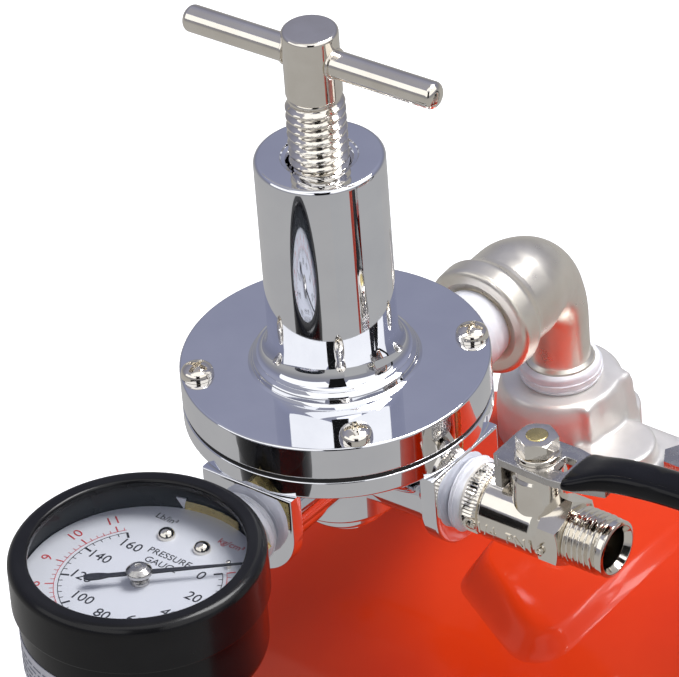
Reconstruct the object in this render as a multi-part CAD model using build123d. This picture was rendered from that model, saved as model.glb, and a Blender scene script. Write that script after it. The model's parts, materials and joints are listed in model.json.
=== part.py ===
from build123d import *
import os
from math import cos, radians, sin, sqrt

# Small air compressor for airbrush work: a lying air tank with a piston pump on its back half, and a
# T-handle pressure regulator with gauge and ball valve on a cast manifold at its front end.
#
# All sizes are millimetres. Everything is laid out from the regulator: x, y = 0 on the regulator's
# axis and z = 0 on top of its flange. +X is the tank's long axis, +Z is up. save() moves each piece
# to the part's origin, the middle of the whole object's footprint on the floor.

# ---- driving dimensions ----
TANK_R = 95.0
TANK_Y = 49.4
TANK_Z = -164.7
TANK_LEFT = -70.0
TANK_RIGHT = 365.0
TANK_WALL = 2.5
CROWN_R = 150.0
KNUCKLE_R = 24.0
FLOOR_Z = -285.0

FLANGE_R = 34.0
PORT_Z = -23.5
PORT_BORE_R = 6.6
PORT_FACE = 34.0
SCREW_CIRCLE_R = 30.2
BONNET_R = 14.2
BONNET_TOP = 52.8
THREAD_R = 6.45
THREAD_PITCH = 2.25
HUB_R = 6.1
HUB_LOW = 68.6
HUB_TOP = 84.6
TEE_Z = 77.8
TEE_R = 3.05
TEE_LENGTH = 64.6
TEE_ANGLE = 2.2

GAUGE_Y = -71.1
BEZEL_R = 27.6
BEZEL_TOP = -5.5
BEZEL_LOW = -17.5
CASE_R = 26.4
CASE_LOW = -34.0
WINDOW_R = 23.2
DIAL_R = 26.1
DIAL_Z = -14.75
POINTER_ANGLE = 40.0
SCREW_SPOTS = ((-4.7, -55.5), (4.7, -55.5))
STOP_SPOT = (13.0, -57.2)

VALVE_X = 53.4
VALVE_END = 73.2
OUTLET_R = 6.6
OUTLET_COLLAR_R = 6.1
LEVER_Z = -7.5
GRIP_END = 118.0
BALL_R = 5.0
SEATS = ((46.6, 50.4, 4.3), (56.3, 57.35, 4.3))

ELBOW_MOUTH_Y = 51.4
ELBOW_Y = 82.2
ELBOW_BEND = 16.0
ELBOW_RADII = (12.0, 12.0, 8.4, 7.1, 7.1)
LEG_R = 8.35
BOSS_TOP = -56.6
BOLT_POINTS = ((34.0, 81.0, -70.0), (-2.0, 101.0, -78.0))

SHAFT_Z = -4.0
PLATE_LEFT = 120.0
PLATE_RIGHT = 320.0
PLATE_TOP = -60.0
CYLINDER_X = 172.0
MOTOR_LEFT = 203.0
MOTOR_RIGHT = 268.0
MOTOR_R = 36.0
MOUNT_X = (150.0, 256.0)
MOUNT_Y = (TANK_Y - 40.0, TANK_Y + 40.0)
BASE_LOW = -46.0
FOOT_TOP = -42.0

FEET_X = (40.0, 255.0)
FEET_Y = (TANK_Y - 64.0, TANK_Y + 64.0)
FOOT_HALF_Y = 78.0
FOOT_PLATE_LOW = -276.0
DRAIN_X = 147.5
DRAIN_Z = -265.5
CHECK_X = 108.0
RELIEF_X = 84.0

GAUGE_FRONT = GAUGE_Y - BEZEL_R
TANK_BACK = TANK_Y + TANK_R
ORIGIN = Pos(-(TANK_LEFT + TANK_RIGHT) / 2, -(GAUGE_FRONT + TANK_BACK) / 2, -FLOOR_Z)


# ---- small helpers ----
def rod(radius, low, high, x=0.0, y=0.0):
    """Upright cylinder between two heights."""
    return Pos(x, y, (low + high) / 2) * Cylinder(radius, high - low)


def tube(outer, inner, low, high, x=0.0, y=0.0):
    """Upright pipe between two heights."""
    return rod(outer, low, high, x, y) - rod(inner, low - 1, high + 1, x, y)


def block(x_range, y_range, z_range):
    """Box between three pairs of limits."""
    sizes = [high - low for low, high in (x_range, y_range, z_range)]
    middles = [(high + low) / 2 for low, high in (x_range, y_range, z_range)]
    return Pos(*middles) * Box(*sizes)


def prism(flats, low, high, x=0.0, y=0.0, sides=6):
    """Upright polygon bar, measured across its flats."""
    outline = RegularPolygon(flats / 2, sides, major_radius=False)
    return Pos(x, y, low) * extrude(outline, high - low)


def turned(outline):
    """Solid of revolution about the z axis from (radius, height) corners."""
    corners = [(radius, 0, height) for radius, height in outline]
    return revolve(make_face(Polyline(*corners, close=True)), Axis.Z)


def port(angle):
    """Place for a piece on a regulator port: its z axis runs outward along the port."""
    return Pos(0, 0, PORT_Z) * Rot(0, 0, angle) * Rot(0, 90, 0)


def lengthwise(y, z):
    """Place for a piece whose own z axis runs along +X."""
    return Pos(0, y, z) * Rot(0, 90, 0)


def coil(mean_radius, wire_radius, low, high, turns):
    """Open helical spring between two heights."""
    height = high - low - 2 * wire_radius
    path = Helix(height / turns, height, mean_radius)
    section = Plane(path @ 0, z_dir=path % 0) * Circle(wire_radius)
    return Pos(0, 0, low + wire_radius) * sweep(section, path=path, is_frenet=True)


def around(radius, count, start=0.0):
    """Points of an even bolt circle."""
    angles = [radians(start + 360 * number / count) for number in range(count)]
    return [(radius * cos(angle), radius * sin(angle)) for angle in angles]


def thread_rings(radius, depth, pitch, low, high, inner=0.0):
    """Rod with a ring for each thread ridge; the core is half a pitch deep at both ends."""
    ridges = int((high - low) / pitch)
    step = (high - low) / ridges
    outline = [(inner, low), (radius - depth, low)]
    for number in range(ridges):
        base = low + number * step
        outline += [
            (radius, base + 0.4 * step),
            (radius, base + 0.6 * step),
            (radius - depth, base + step),
        ]
    outline.append((inner, high))
    return turned(outline)


# ---- tank ----
def tank_form(offset):
    """Cylinder with two dished ends, grown or shrunk by an offset."""
    radius = TANK_R + offset
    crown = CROWN_R + offset
    knuckle = KNUCKLE_R + offset
    left = TANK_LEFT - offset
    right = TANK_RIGHT + offset
    reach = sqrt((crown - knuckle) ** 2 - (radius - knuckle) ** 2)
    shoulder = left + crown - reach
    slope = (radius - knuckle) / (crown - knuckle)
    touch_r = crown * slope
    touch_x = crown - crown * sqrt(1 - slope**2)
    half = 1 / sqrt(2)
    corner_x = shoulder - knuckle * half
    corner_r = radius - knuckle + knuckle * half
    far = left + right
    crown_mid_r = touch_r / 2
    crown_mid_x = crown - sqrt(crown**2 - crown_mid_r**2)
    edges = [
        ThreePointArc((0, left), (crown_mid_r, left + crown_mid_x), (touch_r, left + touch_x)),
        ThreePointArc((touch_r, left + touch_x), (corner_r, corner_x), (radius, shoulder)),
        Line((radius, shoulder), (radius, far - shoulder)),
        ThreePointArc((radius, far - shoulder), (corner_r, far - corner_x), (touch_r, right - touch_x)),
        ThreePointArc((touch_r, right - touch_x), (crown_mid_r, right - crown_mid_x), (0, right)),
        Line((0, right), (0, left)),
    ]
    form = revolve(make_face(edges), Axis.Y)
    return Pos(0, TANK_Y, TANK_Z) * Rot(0, 0, -90) * form


def tank_bar(radius):
    """Long cylinder on the tank's axis, for cutting pieces that sit on the shell."""
    middle = (TANK_LEFT + TANK_RIGHT) / 2
    return Pos(middle, TANK_Y, TANK_Z) * Rot(0, 90, 0) * Cylinder(radius, 500)


def tank_shell():
    shell = tank_form(0) - tank_form(-TANK_WALL)
    outlet_hole = rod(6, -100, -60, 0, ELBOW_Y)
    drain_hole = rod(5, -275, -240, DRAIN_X, TANK_Y)
    inlet_hole = rod(4, -90, -50, CHECK_X, TANK_Y)
    relief_hole = rod(3, -90, -50, RELIEF_X, TANK_Y)
    return shell - outlet_hole - drain_hole - inlet_hole - relief_hole


def tank_feet():
    """Two pressed channels that cradle the tank, with a flat sole for the rubber feet."""
    feet = []
    for x in FEET_X:
        y_range = (TANK_Y - FOOT_HALF_Y, TANK_Y + FOOT_HALF_Y)
        sides = block((x - 16, x + 16), y_range, (FOOT_PLATE_LOW, -212))
        inside = block((x - 13.5, x + 13.5), (y_range[0] + 2.5, y_range[1] - 2.5), (-273, -200))
        foot = sides - inside - tank_bar(TANK_R)
        foot -= [rod(2.6, -290, -260, x, y) for y in FEET_Y]
        feet.append(foot)
    return feet


def rubber_feet():
    outline = [(2.6, FLOOR_Z), (11, FLOOR_Z), (12.5, FOOT_PLATE_LOW), (2.6, FOOT_PLATE_LOW)]
    return [Pos(x, y, 0) * turned(outline) for x in FEET_X for y in FEET_Y]


def crest_pad():
    """Low pressed pad on the tank's crest, with a slanted round front end."""
    plan = make_face(Polyline((15, 66), (15, 22), (38, 12), (45, 17), (48, 36), (48, 66), close=True))
    plan = fillet(plan.vertices(), 3)
    pad = Pos(0, 0, -95) * extrude(plan, 40)
    return (pad & tank_bar(TANK_R + 4)) - tank_bar(TANK_R)


def pump_plate():
    """Inverted tray welded over the tank, which carries the pump."""
    y_range = (TANK_Y - 58, TANK_Y + 58)
    tray = block((PLATE_LEFT, PLATE_RIGHT), y_range, (-110, PLATE_TOP))
    tray = fillet(tray.edges().filter_by(Axis.Z) + tray.edges().group_by(Axis.Z)[-1], 4)
    hollow = block(
        (PLATE_LEFT + 3, PLATE_RIGHT - 3), (y_range[0] + 3, y_range[1] - 3), (-120, PLATE_TOP - 3)
    )
    return tray - hollow - tank_bar(TANK_R) - tank_form(0)


# ---- manifold and inlet pipes ----
def manifold():
    """Cast outlet block on the tank: round boss for the pipe, square shoulder and two bolted lugs."""
    boss = Pos(0, ELBOW_Y, 0) * turned([
        (0, -100), (15.5, -100), (17.5, -64), (16.6, -59.5), (14.2, BOSS_TOP), (0, BOSS_TOP),
    ])
    shoulder = block((0, 14), (73, 91), (-90, BOSS_TOP))
    shoulder = chamfer(shoulder.edges().group_by(Axis.Z)[-1], 1.2)
    lobe = rod(9, -95, -66.5, 17, 77)
    arm = Pos(29, 80.5, -95) * extrude(RectangleRounded(32, 21, 7), 25)
    back_lug = rod(9, -110, -78, *BOLT_POINTS[1][:2])
    casting = boss + shoulder + lobe + arm + back_lug - tank_bar(TANK_R)
    casting -= rod(LEG_R + 0.05, -70, -50, 0, ELBOW_Y) + rod(5, -100, -60, 0, ELBOW_Y)
    for x, y, seat in BOLT_POINTS:
        casting -= rod(2.6, -120, seat + 1, x, y)
        casting -= rod(5.4, seat, -40, x, y)
    return casting


def inlet_elbow():
    """Reducing street elbow: wide beaded mouth towards the regulator, slim male leg down."""
    low = BOSS_TOP + 4.6
    path = FilletPolyline(
        (0, ELBOW_MOUTH_Y + 4, PORT_Z), (0, ELBOW_Y, PORT_Z), (0, ELBOW_Y, low), radius=ELBOW_BEND
    )
    lengths = [edge.length for edge in path.edges()]
    whole = sum(lengths)
    stops = (0, lengths[0], lengths[0] + lengths[1] / 2, lengths[0] + lengths[1], whole)
    sections = []
    for stop, radius in zip(stops, ELBOW_RADII):
        share = stop / whole
        sections.append(Plane(path @ share, z_dir=path % share) * Circle(radius))
    body = sweep(sections, path=path, multisection=True)
    mouth = port(90) * turned([
        (8, ELBOW_MOUTH_Y), (12.7, ELBOW_MOUTH_Y), (13.7, ELBOW_MOUTH_Y + 1),
        (13.7, ELBOW_MOUTH_Y + 5), (12.0, ELBOW_MOUTH_Y + 7.5), (8, ELBOW_MOUTH_Y + 7.5),
    ])
    leg = rod(LEG_R, BOSS_TOP - 7, low, 0, ELBOW_Y)
    start = Plane(path @ 0, z_dir=path % 0)
    passage = sweep(start * Circle(5), path=path) + rod(5, BOSS_TOP - 8, low + 0.1, 0, ELBOW_Y)
    thread_bore = port(90) * rod(8.3, ELBOW_MOUTH_Y - 1, ELBOW_MOUTH_Y + 11)
    return body + mouth + leg - passage - thread_bore


def pipe_nipple():
    """Short pipe from the regulator's inlet port into the elbow."""
    pipe = rod(PORT_BORE_R, 25, 36) + rod(8.3, 36, ELBOW_MOUTH_Y + 8)
    return port(90) * (pipe - rod(4, 20, 70))


def thread_tapes():
    """White sealing tape left proud on four joints."""
    inlet = port(90) * tube(9.0, 8.3, 44, ELBOW_MOUTH_Y - 0.1)
    gauge = port(-90) * tube(7.8, PORT_BORE_R, PORT_FACE, 38)
    valve = port(0) * tube(8.2, PORT_BORE_R, PORT_FACE, 36.8)
    leg = tube(9.4, LEG_R, BOSS_TOP, BOSS_TOP + 4.6, 0, ELBOW_Y)
    return [inlet, gauge, valve, leg]


# ---- regulator ----
def regulator_body():
    """Round flange over a core with four port arms, each ending in a flat plate."""
    body = rod(FLANGE_R, -13.5, -9) + rod(14, -36, -13)
    for angle in (0, 90, 180, 270):
        plate = rod(12, 30, PORT_FACE) + block((-10.2, 0), (-12, 12), (30, PORT_FACE))
        body += port(angle) * (rod(9.5, 0, 31) + plate)
    body -= rod(25, -12, -8)
    body -= rod(3, -22, -11)
    body -= rod(7, -40, -20)
    for angle in (0, 90, 180, 270):
        body -= port(angle) * (rod(PORT_BORE_R, 22, 40) + rod(2.5, 5, 30))
    body -= [rod(2, -20, 0, x, y) for x, y in around(SCREW_CIRCLE_R, 4, 45)]
    return body


def diaphragm():
    holes = [rod(2, -20, 0, x, y) for x, y in around(SCREW_CIRCLE_R, 4, 45)]
    return tube(FLANGE_R - 0.4, 3.1, -9, -8) - holes


def diaphragm_plate():
    """Spring seat on the diaphragm, with a rivet through it."""
    return rod(15, -8, -6.4) + rod(6.5, -6.4, -4.6) + rod(3, -10, -8)


def bonnet():
    """Chromed spring housing with a flared foot on its clamping flange."""
    profile = [
        (18.5, -8), (FLANGE_R - 0.7, -8), (FLANGE_R, -7.3), (FLANGE_R, -0.9),
        (FLANGE_R - 0.9, 0), (18.4, 0), (18.1, 1.7), (17.0, 2.4), (15.4, 4.2),
        (14.5, 6.6), (BONNET_R, 8.8), (BONNET_R, BONNET_TOP - 1.2),
        (BONNET_R - 1.2, BONNET_TOP), (8.5, BONNET_TOP), (6.6, BONNET_TOP - 1.4),
        (6.6, 44), (11.2, 40), (11.2, -3), (18.5, -3),
    ]
    holes = [rod(2.1, -20, 10, x, y) for x, y in around(SCREW_CIRCLE_R, 4, 45)]
    return turned(profile) - holes


def flange_screws():
    """Four domed pan-head screws with cross slots."""
    screws = []
    for x, y in around(SCREW_CIRCLE_R, 4, 45):
        head = turned([(0, 0), (3.6, 0), (3.6, 0.9), (3.2, 1.9), (2.2, 2.6), (0, 2.9)])
        cross = Rot(0, 0, 25) * (Box(4.4, 0.9, 2.4) + Box(0.9, 4.4, 2.4))
        screws.append(Pos(x, y, 0) * (head - Pos(0, 0, 2.9) * cross + rod(2, -12, 0.1)))
    return screws


def bottom_cap():
    return rod(7, -36, -32) + rod(9.6, -41, -36) + prism(10, -44, -41)


def port_plug():
    return port(180) * (rod(PORT_BORE_R, 26, PORT_FACE) + prism(12, PORT_FACE, 39))


def adjusting_screw():
    """Threaded screw with a plain hub that holds the cross bar."""
    thread = thread_rings(THREAD_R, 0.95, THREAD_PITCH, 41, HUB_LOW)
    hub = turned([
        (0, HUB_LOW), (HUB_R - 0.6, HUB_LOW), (HUB_R, HUB_LOW + 0.6), (HUB_R, HUB_TOP - 1),
        (HUB_R - 1, HUB_TOP), (0, HUB_TOP),
    ])
    bar_hole = Pos(0, 0, TEE_Z) * Rot(0, 0, TEE_ANGLE) * Rot(0, 90, 0) * Cylinder(TEE_R, 40)
    return thread + hub + rod(4, 40, 41) - bar_hole


def tee_bar():
    half = TEE_LENGTH / 2
    bar = turned([
        (0, -half), (1.6, -half), (2.6, -half + 0.6), (TEE_R, -half + 1.7),
        (TEE_R, half - 1.7), (2.6, half - 0.6), (1.6, half), (0, half),
    ])
    return Pos(0, 0, TEE_Z) * Rot(0, 0, TEE_ANGLE) * Rot(0, 90, 0) * bar


def spring_button():
    return rod(10, 36.5, 40) + rod(6, 34.5, 36.5)


def main_spring():
    return coil(8.2, 1.2, -6.4, 36.5, 7)


def poppet():
    return rod(1.5, -20, -10) + rod(5, -23, -20) + rod(1.6, -26, -23)


def poppet_spring():
    return coil(3.2, 0.4, -32, -23, 5)


# ---- gauge ----
def gauge_case():
    """Cup with a rounded back edge and a side hole for its socket."""
    outer = rod(CASE_R, CASE_LOW, DIAL_Z - 0.6, 0, GAUGE_Y)
    outer = fillet(outer.edges().group_by(Axis.Z)[0], 4)
    inner = rod(CASE_R - 1.5, CASE_LOW + 1.6, -10, 0, GAUGE_Y)
    side_hole = port(-90) * rod(5, 40, 52)
    return outer - inner - side_hole


def gauge_bezel():
    """Screwed ring that holds the window."""
    outline = [
        (CASE_R, BEZEL_LOW), (BEZEL_R - 0.5, BEZEL_LOW), (BEZEL_R, BEZEL_LOW + 0.5),
        (BEZEL_R, BEZEL_TOP - 1.6), (BEZEL_R - 0.6, BEZEL_TOP - 0.4), (BEZEL_R - 1.8, BEZEL_TOP),
        (WINDOW_R + 0.6, BEZEL_TOP), (WINDOW_R, BEZEL_TOP - 0.6), (WINDOW_R, BEZEL_TOP - 1.8),
        (CASE_R, BEZEL_TOP - 1.8),
    ]
    return Pos(0, GAUGE_Y, 0) * turned(outline)


def gauge_lens():
    return rod(CASE_R - 0.1, BEZEL_TOP - 3.3, BEZEL_TOP - 1.8, 0, GAUGE_Y)


def gauge_dial():
    dial = rod(DIAL_R, DIAL_Z - 0.6, DIAL_Z, 0, GAUGE_Y)
    holes = rod(1.2, DIAL_Z - 5, DIAL_Z + 5, 0, GAUGE_Y)
    for x, y in SCREW_SPOTS:
        holes += rod(0.9, DIAL_Z - 5, DIAL_Z + 5, x, y)
    holes += rod(0.6, DIAL_Z - 5, DIAL_Z + 5, *STOP_SPOT)
    return dial - holes


def gauge_socket():
    """Brass socket: thread in the port, square, and a block under the dial."""
    thread = rod(PORT_BORE_R, 26, 38)
    square = prism(13, 38, 43, sides=4)
    neck = rod(4.9, 43, 50)
    inner = block((-7, 7), (-62, -50), (-29, DIAL_Z - 0.6))
    holes = [rod(0.9, -22, DIAL_Z, x, y) for x, y in SCREW_SPOTS]
    passage = port(-90) * rod(1.5, 20, 56)
    return port(-90) * (thread + square + neck) + inner - passage - holes


def bourdon_tube():
    """Open C of flattened tube that bends with pressure."""
    section = Pos(17.5, 0, 0) * Ellipse(1.2, 3.2)
    arc = revolve(Plane.XZ * section, Axis.Z, 200)
    return Pos(0, GAUGE_Y, -22.5) * Rot(0, 0, 170) * arc


def dial_screws():
    """Two domed dial screws and the pointer's stop pin."""
    pieces = []
    for x, y in SCREW_SPOTS:
        head = turned([(0, 0), (1.8, 0), (1.7, 0.6), (1.1, 1.1), (0, 1.25)])
        pieces.append(Pos(x, y, DIAL_Z) * (head + rod(0.9, -4, 0)))
    pieces.append(rod(0.6, DIAL_Z - 2, DIAL_Z + 1.6, *STOP_SPOT))
    return pieces


def gauge_pointer():
    """Tapered hand on its shaft, parked on the zero mark."""
    hand = make_face(Polyline(
        (-11.7, 0), (-10.6, -0.95), (-8.6, -0.95), (-2, -0.6), (22, -0.15), (22, 0.15), (-2, 0.6),
        (-8.6, 0.95), (-10.6, 0.95), close=True))
    hand = Rot(0, 0, POINTER_ANGLE) * extrude(hand, 0.5)
    hub = rod(2.2, 0, 1.8)
    shaft = rod(1.15, -2.5, 3.2)
    return Pos(0, GAUGE_Y, DIAL_Z + 1.3) * (hand + hub + shaft)


# ---- ball valve ----
def valve_body():
    """Male end, knurled ring, round waist and the neck for the stem."""
    outer = rod(PORT_BORE_R, 26, 37) + prism(15.6, 36.8, 41, sides=24) + rod(7.8, 41, 56.6)
    outer += rod(7.1, 56.5, 57.4)
    neck = rod(6, PORT_Z, LEVER_Z - 0.3, VALVE_X) & block((40, 57.3), (-9, 9), (-30, 0))
    body = port(0) * outer + neck
    flow = port(0) * (rod(3.4, 20, 60) + rod(6.6, 46.5, 59))
    stem_hole = rod(2.56, PORT_Z, 0, VALVE_X)
    return body - flow - stem_hole


def valve_outlet():
    """Hexagon and male thread that close the body and take the hose."""
    piece = prism(14.2, 57.4, 62.5) + rod(5.9, 62.5, 64)
    piece += thread_rings(OUTLET_R, 0.85, 1.35, 64, 70.8)
    piece += rod(OUTLET_COLLAR_R, 70.8, VALVE_END)
    funnel = Pos(0, 0, VALVE_END - 1.5) * Cone(3.6, 5.2, 3.02)
    return port(0) * (piece - rod(3.6, 50, 80) - funnel)


def valve_ball():
    ball = Pos(VALVE_X, 0, PORT_Z) * Sphere(BALL_R)
    slot = block((VALVE_X - 2.6, VALVE_X + 2.6), (-0.9, 0.9), (PORT_Z + 3.6, PORT_Z + 6))
    return ball - port(0) * rod(3.2, 40, 65) - slot


def valve_seats():
    """Two sealing rings, one on each side of the ball."""
    return [port(0) * tube(6.55, bore, low, high) for low, high, bore in SEATS]


def valve_stem():
    """Brass stem with a blade in the ball, flats for the lever and a threaded top."""
    blade = block((VALVE_X - 2.4, VALVE_X + 2.4), (-0.85, 0.85), (PORT_Z + 3.8, PORT_Z + 6))
    return blade + rod(2.5, PORT_Z + 5.2, -0.6, VALVE_X)


def stem_nut():
    nut = prism(8.0, -4.6, -0.6, VALVE_X) & (Pos(VALVE_X, 0, -0.6 - 4) * Cone(8.6, 4.3, 8))
    washer = rod(4.9, -5.6, -4.6, VALVE_X)
    return nut + washer - rod(2.5, -10, 2, VALVE_X)


def valve_lever():
    """Flat steel lever with a bent stop tab at one end and a slot past the nut."""
    z_range = (LEVER_Z, LEVER_Z + 1.9)
    plate = block((VALVE_X - 7.4, 62.8), (-6, 6), z_range) + block((62, 66), (-5.4, 5.4), z_range)
    tab = block((VALVE_X - 8.4, VALVE_X - 6.6), (-5, 5), (LEVER_Z - 7.6, LEVER_Z + 1.9))
    lever = plate + tab + block((65, 75), (-3.6, 3.6), z_range)
    slot = block((58.9, 62.2), (-2.2, 2.2), (LEVER_Z - 1, LEVER_Z + 3))
    return lever - slot - rod(2.5, -20, 0, VALVE_X)


def lever_grip():
    """Dipped grip that rises from the lever and then runs level."""
    low = LEVER_Z - 1
    side = make_face(Polyline(
        (63, low), (76, low + 0.3), (84, low + 3.5), (GRIP_END, low + 4.8), (GRIP_END, low + 10.4),
        (82, low + 9.2), (73, low + 6.8), (63, low + 3.8), close=True))
    grip = Pos(0, 10, 0) * extrude(Plane.XZ * side, 20)
    plan = make_face(Polyline(
        (61, -6.1), (68, -6), (74, -4.6), (125, -4.3), (125, 4.3), (74, 4.6), (68, 6), (61, 6.1),
        close=True))
    grip &= Pos(0, 0, -20) * extrude(plan, 40)
    pocket = block((60, 66), (-5.4, 5.4), (LEVER_Z, LEVER_Z + 1.9))
    pocket += block((65, 75), (-3.6, 3.6), (LEVER_Z, LEVER_Z + 1.9))
    return grip - pocket


# ---- small fittings on the tank ----
def drain_body():
    body = rod(5, -263, -258.5, DRAIN_X, TANK_Y) + prism(12, -268, -263, DRAIN_X, TANK_Y)
    spout = rod(4, -276, -268, DRAIN_X, TANK_Y)
    cross_bore = Pos(DRAIN_X, TANK_Y, DRAIN_Z) * Rot(90, 0, 0) * Cylinder(2.05, 40)
    return body + spout - rod(1.5, -280, -250, DRAIN_X, TANK_Y) - cross_bore


def drain_tap():
    """Quarter-turn plug with a flat wing."""
    place = Pos(DRAIN_X, TANK_Y, DRAIN_Z) * Rot(90, 0, 0)
    return place * (rod(2, -7, 10) + block((-1.2, 1.2), (-6, 6), (10, 20)))


def safety_valve():
    base = rod(3, TANK_Z + TANK_R - 2.5, TANK_Z + TANK_R + 2, RELIEF_X, TANK_Y)
    body = prism(12, -68, -63, RELIEF_X, TANK_Y) + rod(5.2, -63, -50, RELIEF_X, TANK_Y)
    return base + body - rod(1.1, -80, -40, RELIEF_X, TANK_Y) - tank_bar(TANK_R - 2.4)


def safety_ring():
    """Pull rod with its ring."""
    ring = Pos(RELIEF_X, TANK_Y, -37.5) * Rot(90, 0, 0) * Torus(7, 1)
    return rod(1.05, -58, -45.2, RELIEF_X, TANK_Y) + ring + rod(2.4, -49.7, -48, RELIEF_X, TANK_Y)


# ---- pump and motor ----
def rubber_mounts():
    outline = [(0, PLATE_TOP), (9, PLATE_TOP), (7, -53), (9, BASE_LOW), (0, BASE_LOW)]
    return [Pos(x, y, 0) * turned(outline) for x in MOUNT_X for y in MOUNT_Y]


def crankcase():
    """Cast housing for the crank, on a long foot that also carries the motor."""
    axis = lengthwise(TANK_Y, SHAFT_Z)
    case = axis * rod(32, 142, 202)
    deck = block((146, 198), (TANK_Y - 26, TANK_Y + 26), (SHAFT_Z, 30))
    foot = block((142, 264), (TANK_Y - 49, TANK_Y + 49), (BASE_LOW, FOOT_TOP))
    pedestal = block((150, 194), (TANK_Y - 20, TANK_Y + 20), (FOOT_TOP - 1, SHAFT_Z - 24))
    body = case + deck + foot + pedestal
    body -= axis * rod(28, 146, 198)
    body -= rod(21, SHAFT_Z, 40, CYLINDER_X, TANK_Y)
    return body - axis * rod(9, 190, 210)


def cylinder():
    """Finned barrel."""
    corners = [(18.05, 30), (23, 30)]
    for number in range(5):
        low = 33 + 5.4 * number
        corners += [(23, low), (29, low), (29, low + 2.4), (23, low + 2.4)]
    corners += [(23, 60), (18.05, 60)]
    return Pos(CYLINDER_X, TANK_Y, 0) * turned(corners)


def cylinder_head():
    head = Pos(CYLINDER_X, TANK_Y, 60) * extrude(RectangleRounded(56, 56, 10), 14)
    for number in range(5):
        y = TANK_Y - 14 + 7 * number
        head -= block((CYLINDER_X - 30, CYLINDER_X + 30), (y - 1.4, y + 1.4), (67, 80))
    head -= [rod(2.5, 67, 80, CYLINDER_X + dx, TANK_Y + dy) for dx in (-22, 22) for dy in (-24, 24)]
    head -= lengthwise(TANK_Y, 64) * rod(3, 140, 160)
    return head


def hex_bolts():
    """Hexagon bolts of the manifold and of the cylinder head."""
    head_spots = [(CYLINDER_X + dx, TANK_Y + dy) for dx in (-22, 22) for dy in (-24, 24)]
    bolts = [
        prism(8, seat, seat + 3.5, x, y) + rod(2.5, seat - 4, seat, x, y) for x, y, seat in BOLT_POINTS
    ]
    return bolts + [prism(8, 74, 77.5, x, y) + rod(2.5, 68, 74, x, y) for x, y in head_spots]


def piston():
    """Piston with its rod in one piece, as oil-free pumps have."""
    head = rod(18, 47, 56, CYLINDER_X, TANK_Y)
    stem = block((CYLINDER_X - 3, CYLINDER_X + 3), (TANK_Y - 6, TANK_Y + 6), (28, 47))
    return head + stem


def motor_rotor():
    """Shaft with the laminated core on it."""
    shaft = rod(5, 160, 292)
    core = rod(19, 212, 250)
    return lengthwise(TANK_Y, SHAFT_Z) * (shaft + core)


def crank():
    """Disc with an eccentric pin and a balance weight."""
    disc = lengthwise(TANK_Y, SHAFT_Z) * tube(13, 5, 164, 170)
    pin = lengthwise(TANK_Y, SHAFT_Z + 9) * rod(3, 152, 164)
    weight = lengthwise(TANK_Y, SHAFT_Z) * (tube(14.5, 5, 170, 178) & block((2, 30), (-30, 30), (150, 190)))
    return disc + pin + weight


def cooling_fan():
    hub = tube(10, 5, 274, 288)
    fan = hub
    for number in range(8):
        blade = Pos(20, 0, 281) * Rot(30, 0, 0) * Box(23, 1.6, 12)
        fan += Rot(0, 0, 45 * number) * blade
    fan -= rod(5, 270, 292)
    return lengthwise(TANK_Y, SHAFT_Z) * fan


def motor_casing():
    shell = tube(MOTOR_R, MOTOR_R - 3, MOTOR_LEFT, MOTOR_RIGHT)
    left = tube(MOTOR_R, 11, 202, MOTOR_LEFT + 3)
    saddle = block((215, 255), (TANK_Y - 28, TANK_Y + 28), (FOOT_TOP, SHAFT_Z - 18))
    saddle -= lengthwise(TANK_Y, SHAFT_Z) * rod(MOTOR_R - 1, 200, 280)
    return lengthwise(TANK_Y, SHAFT_Z) * (shell + left) + saddle


def end_cover():
    """Fan cover with a ring of air slots in its end."""
    cover = tube(MOTOR_R, MOTOR_R - 2.5, MOTOR_RIGHT, 296) + tube(MOTOR_R, 6, 294, 296)
    web = tube(MOTOR_R - 2.5, 11, MOTOR_RIGHT, MOTOR_RIGHT + 2)
    for number in range(12):
        slot = Rot(0, 0, 30 * number) * (Pos(24, 0, 295) * Box(18, 4, 6))
        cover -= slot
    return lengthwise(TANK_Y, SHAFT_Z) * (cover + web)


def stator():
    ring = tube(MOTOR_R - 3, 19.6, 214, 248)
    winding = tube(30, 22, 207, 255)
    return lengthwise(TANK_Y, SHAFT_Z) * (ring + winding)


def motor_bearings():
    """One bearing in the crankcase wall and one in the fan end."""
    front = tube(9, 5.05, 198, 202)
    front_cup = tube(11, 5.05, 202, 206)
    rear = tube(11, 5.05, MOTOR_RIGHT - 3, MOTOR_RIGHT + 2)
    place = lengthwise(TANK_Y, SHAFT_Z)
    return [place * (front + front_cup), place * rear]


def intake_filter():
    stem = lengthwise(TANK_Y - 14, 64) * rod(4, 136, 143.9)
    stem += lengthwise(TANK_Y - 14, 64) * rod(11, 118, 136)
    return stem


def delivery_tube():
    """Copper pipe from the head down to the tank, with a nut at each end."""
    path = FilletPolyline(
        (143.9, TANK_Y + 4, 64), (CHECK_X, TANK_Y + 4, 64), (CHECK_X, TANK_Y, -50), radius=14
    )
    pipe = sweep(Plane(path @ 0, z_dir=path % 0) * Circle(3), path=path)
    nut = lengthwise(TANK_Y + 4, 64) * prism(10, 137, 143.9)
    check_valve = prism(14, -66, -50, CHECK_X, TANK_Y) + rod(4, -71.5, -66, CHECK_X, TANK_Y)
    return pipe + nut + check_valve


def pressure_switch():
    box = block((301, 317), (TANK_Y - 22, TANK_Y + 22), (PLATE_TOP, -5))
    box = fillet(box.edges().filter_by(Axis.X), 5)
    return box - rod(2.6, -20, 0, 309, TANK_Y)


def switch_knob():
    return rod(2.5, -15, -4, 309, TANK_Y) + rod(7, -4, 6, 309, TANK_Y)


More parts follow.
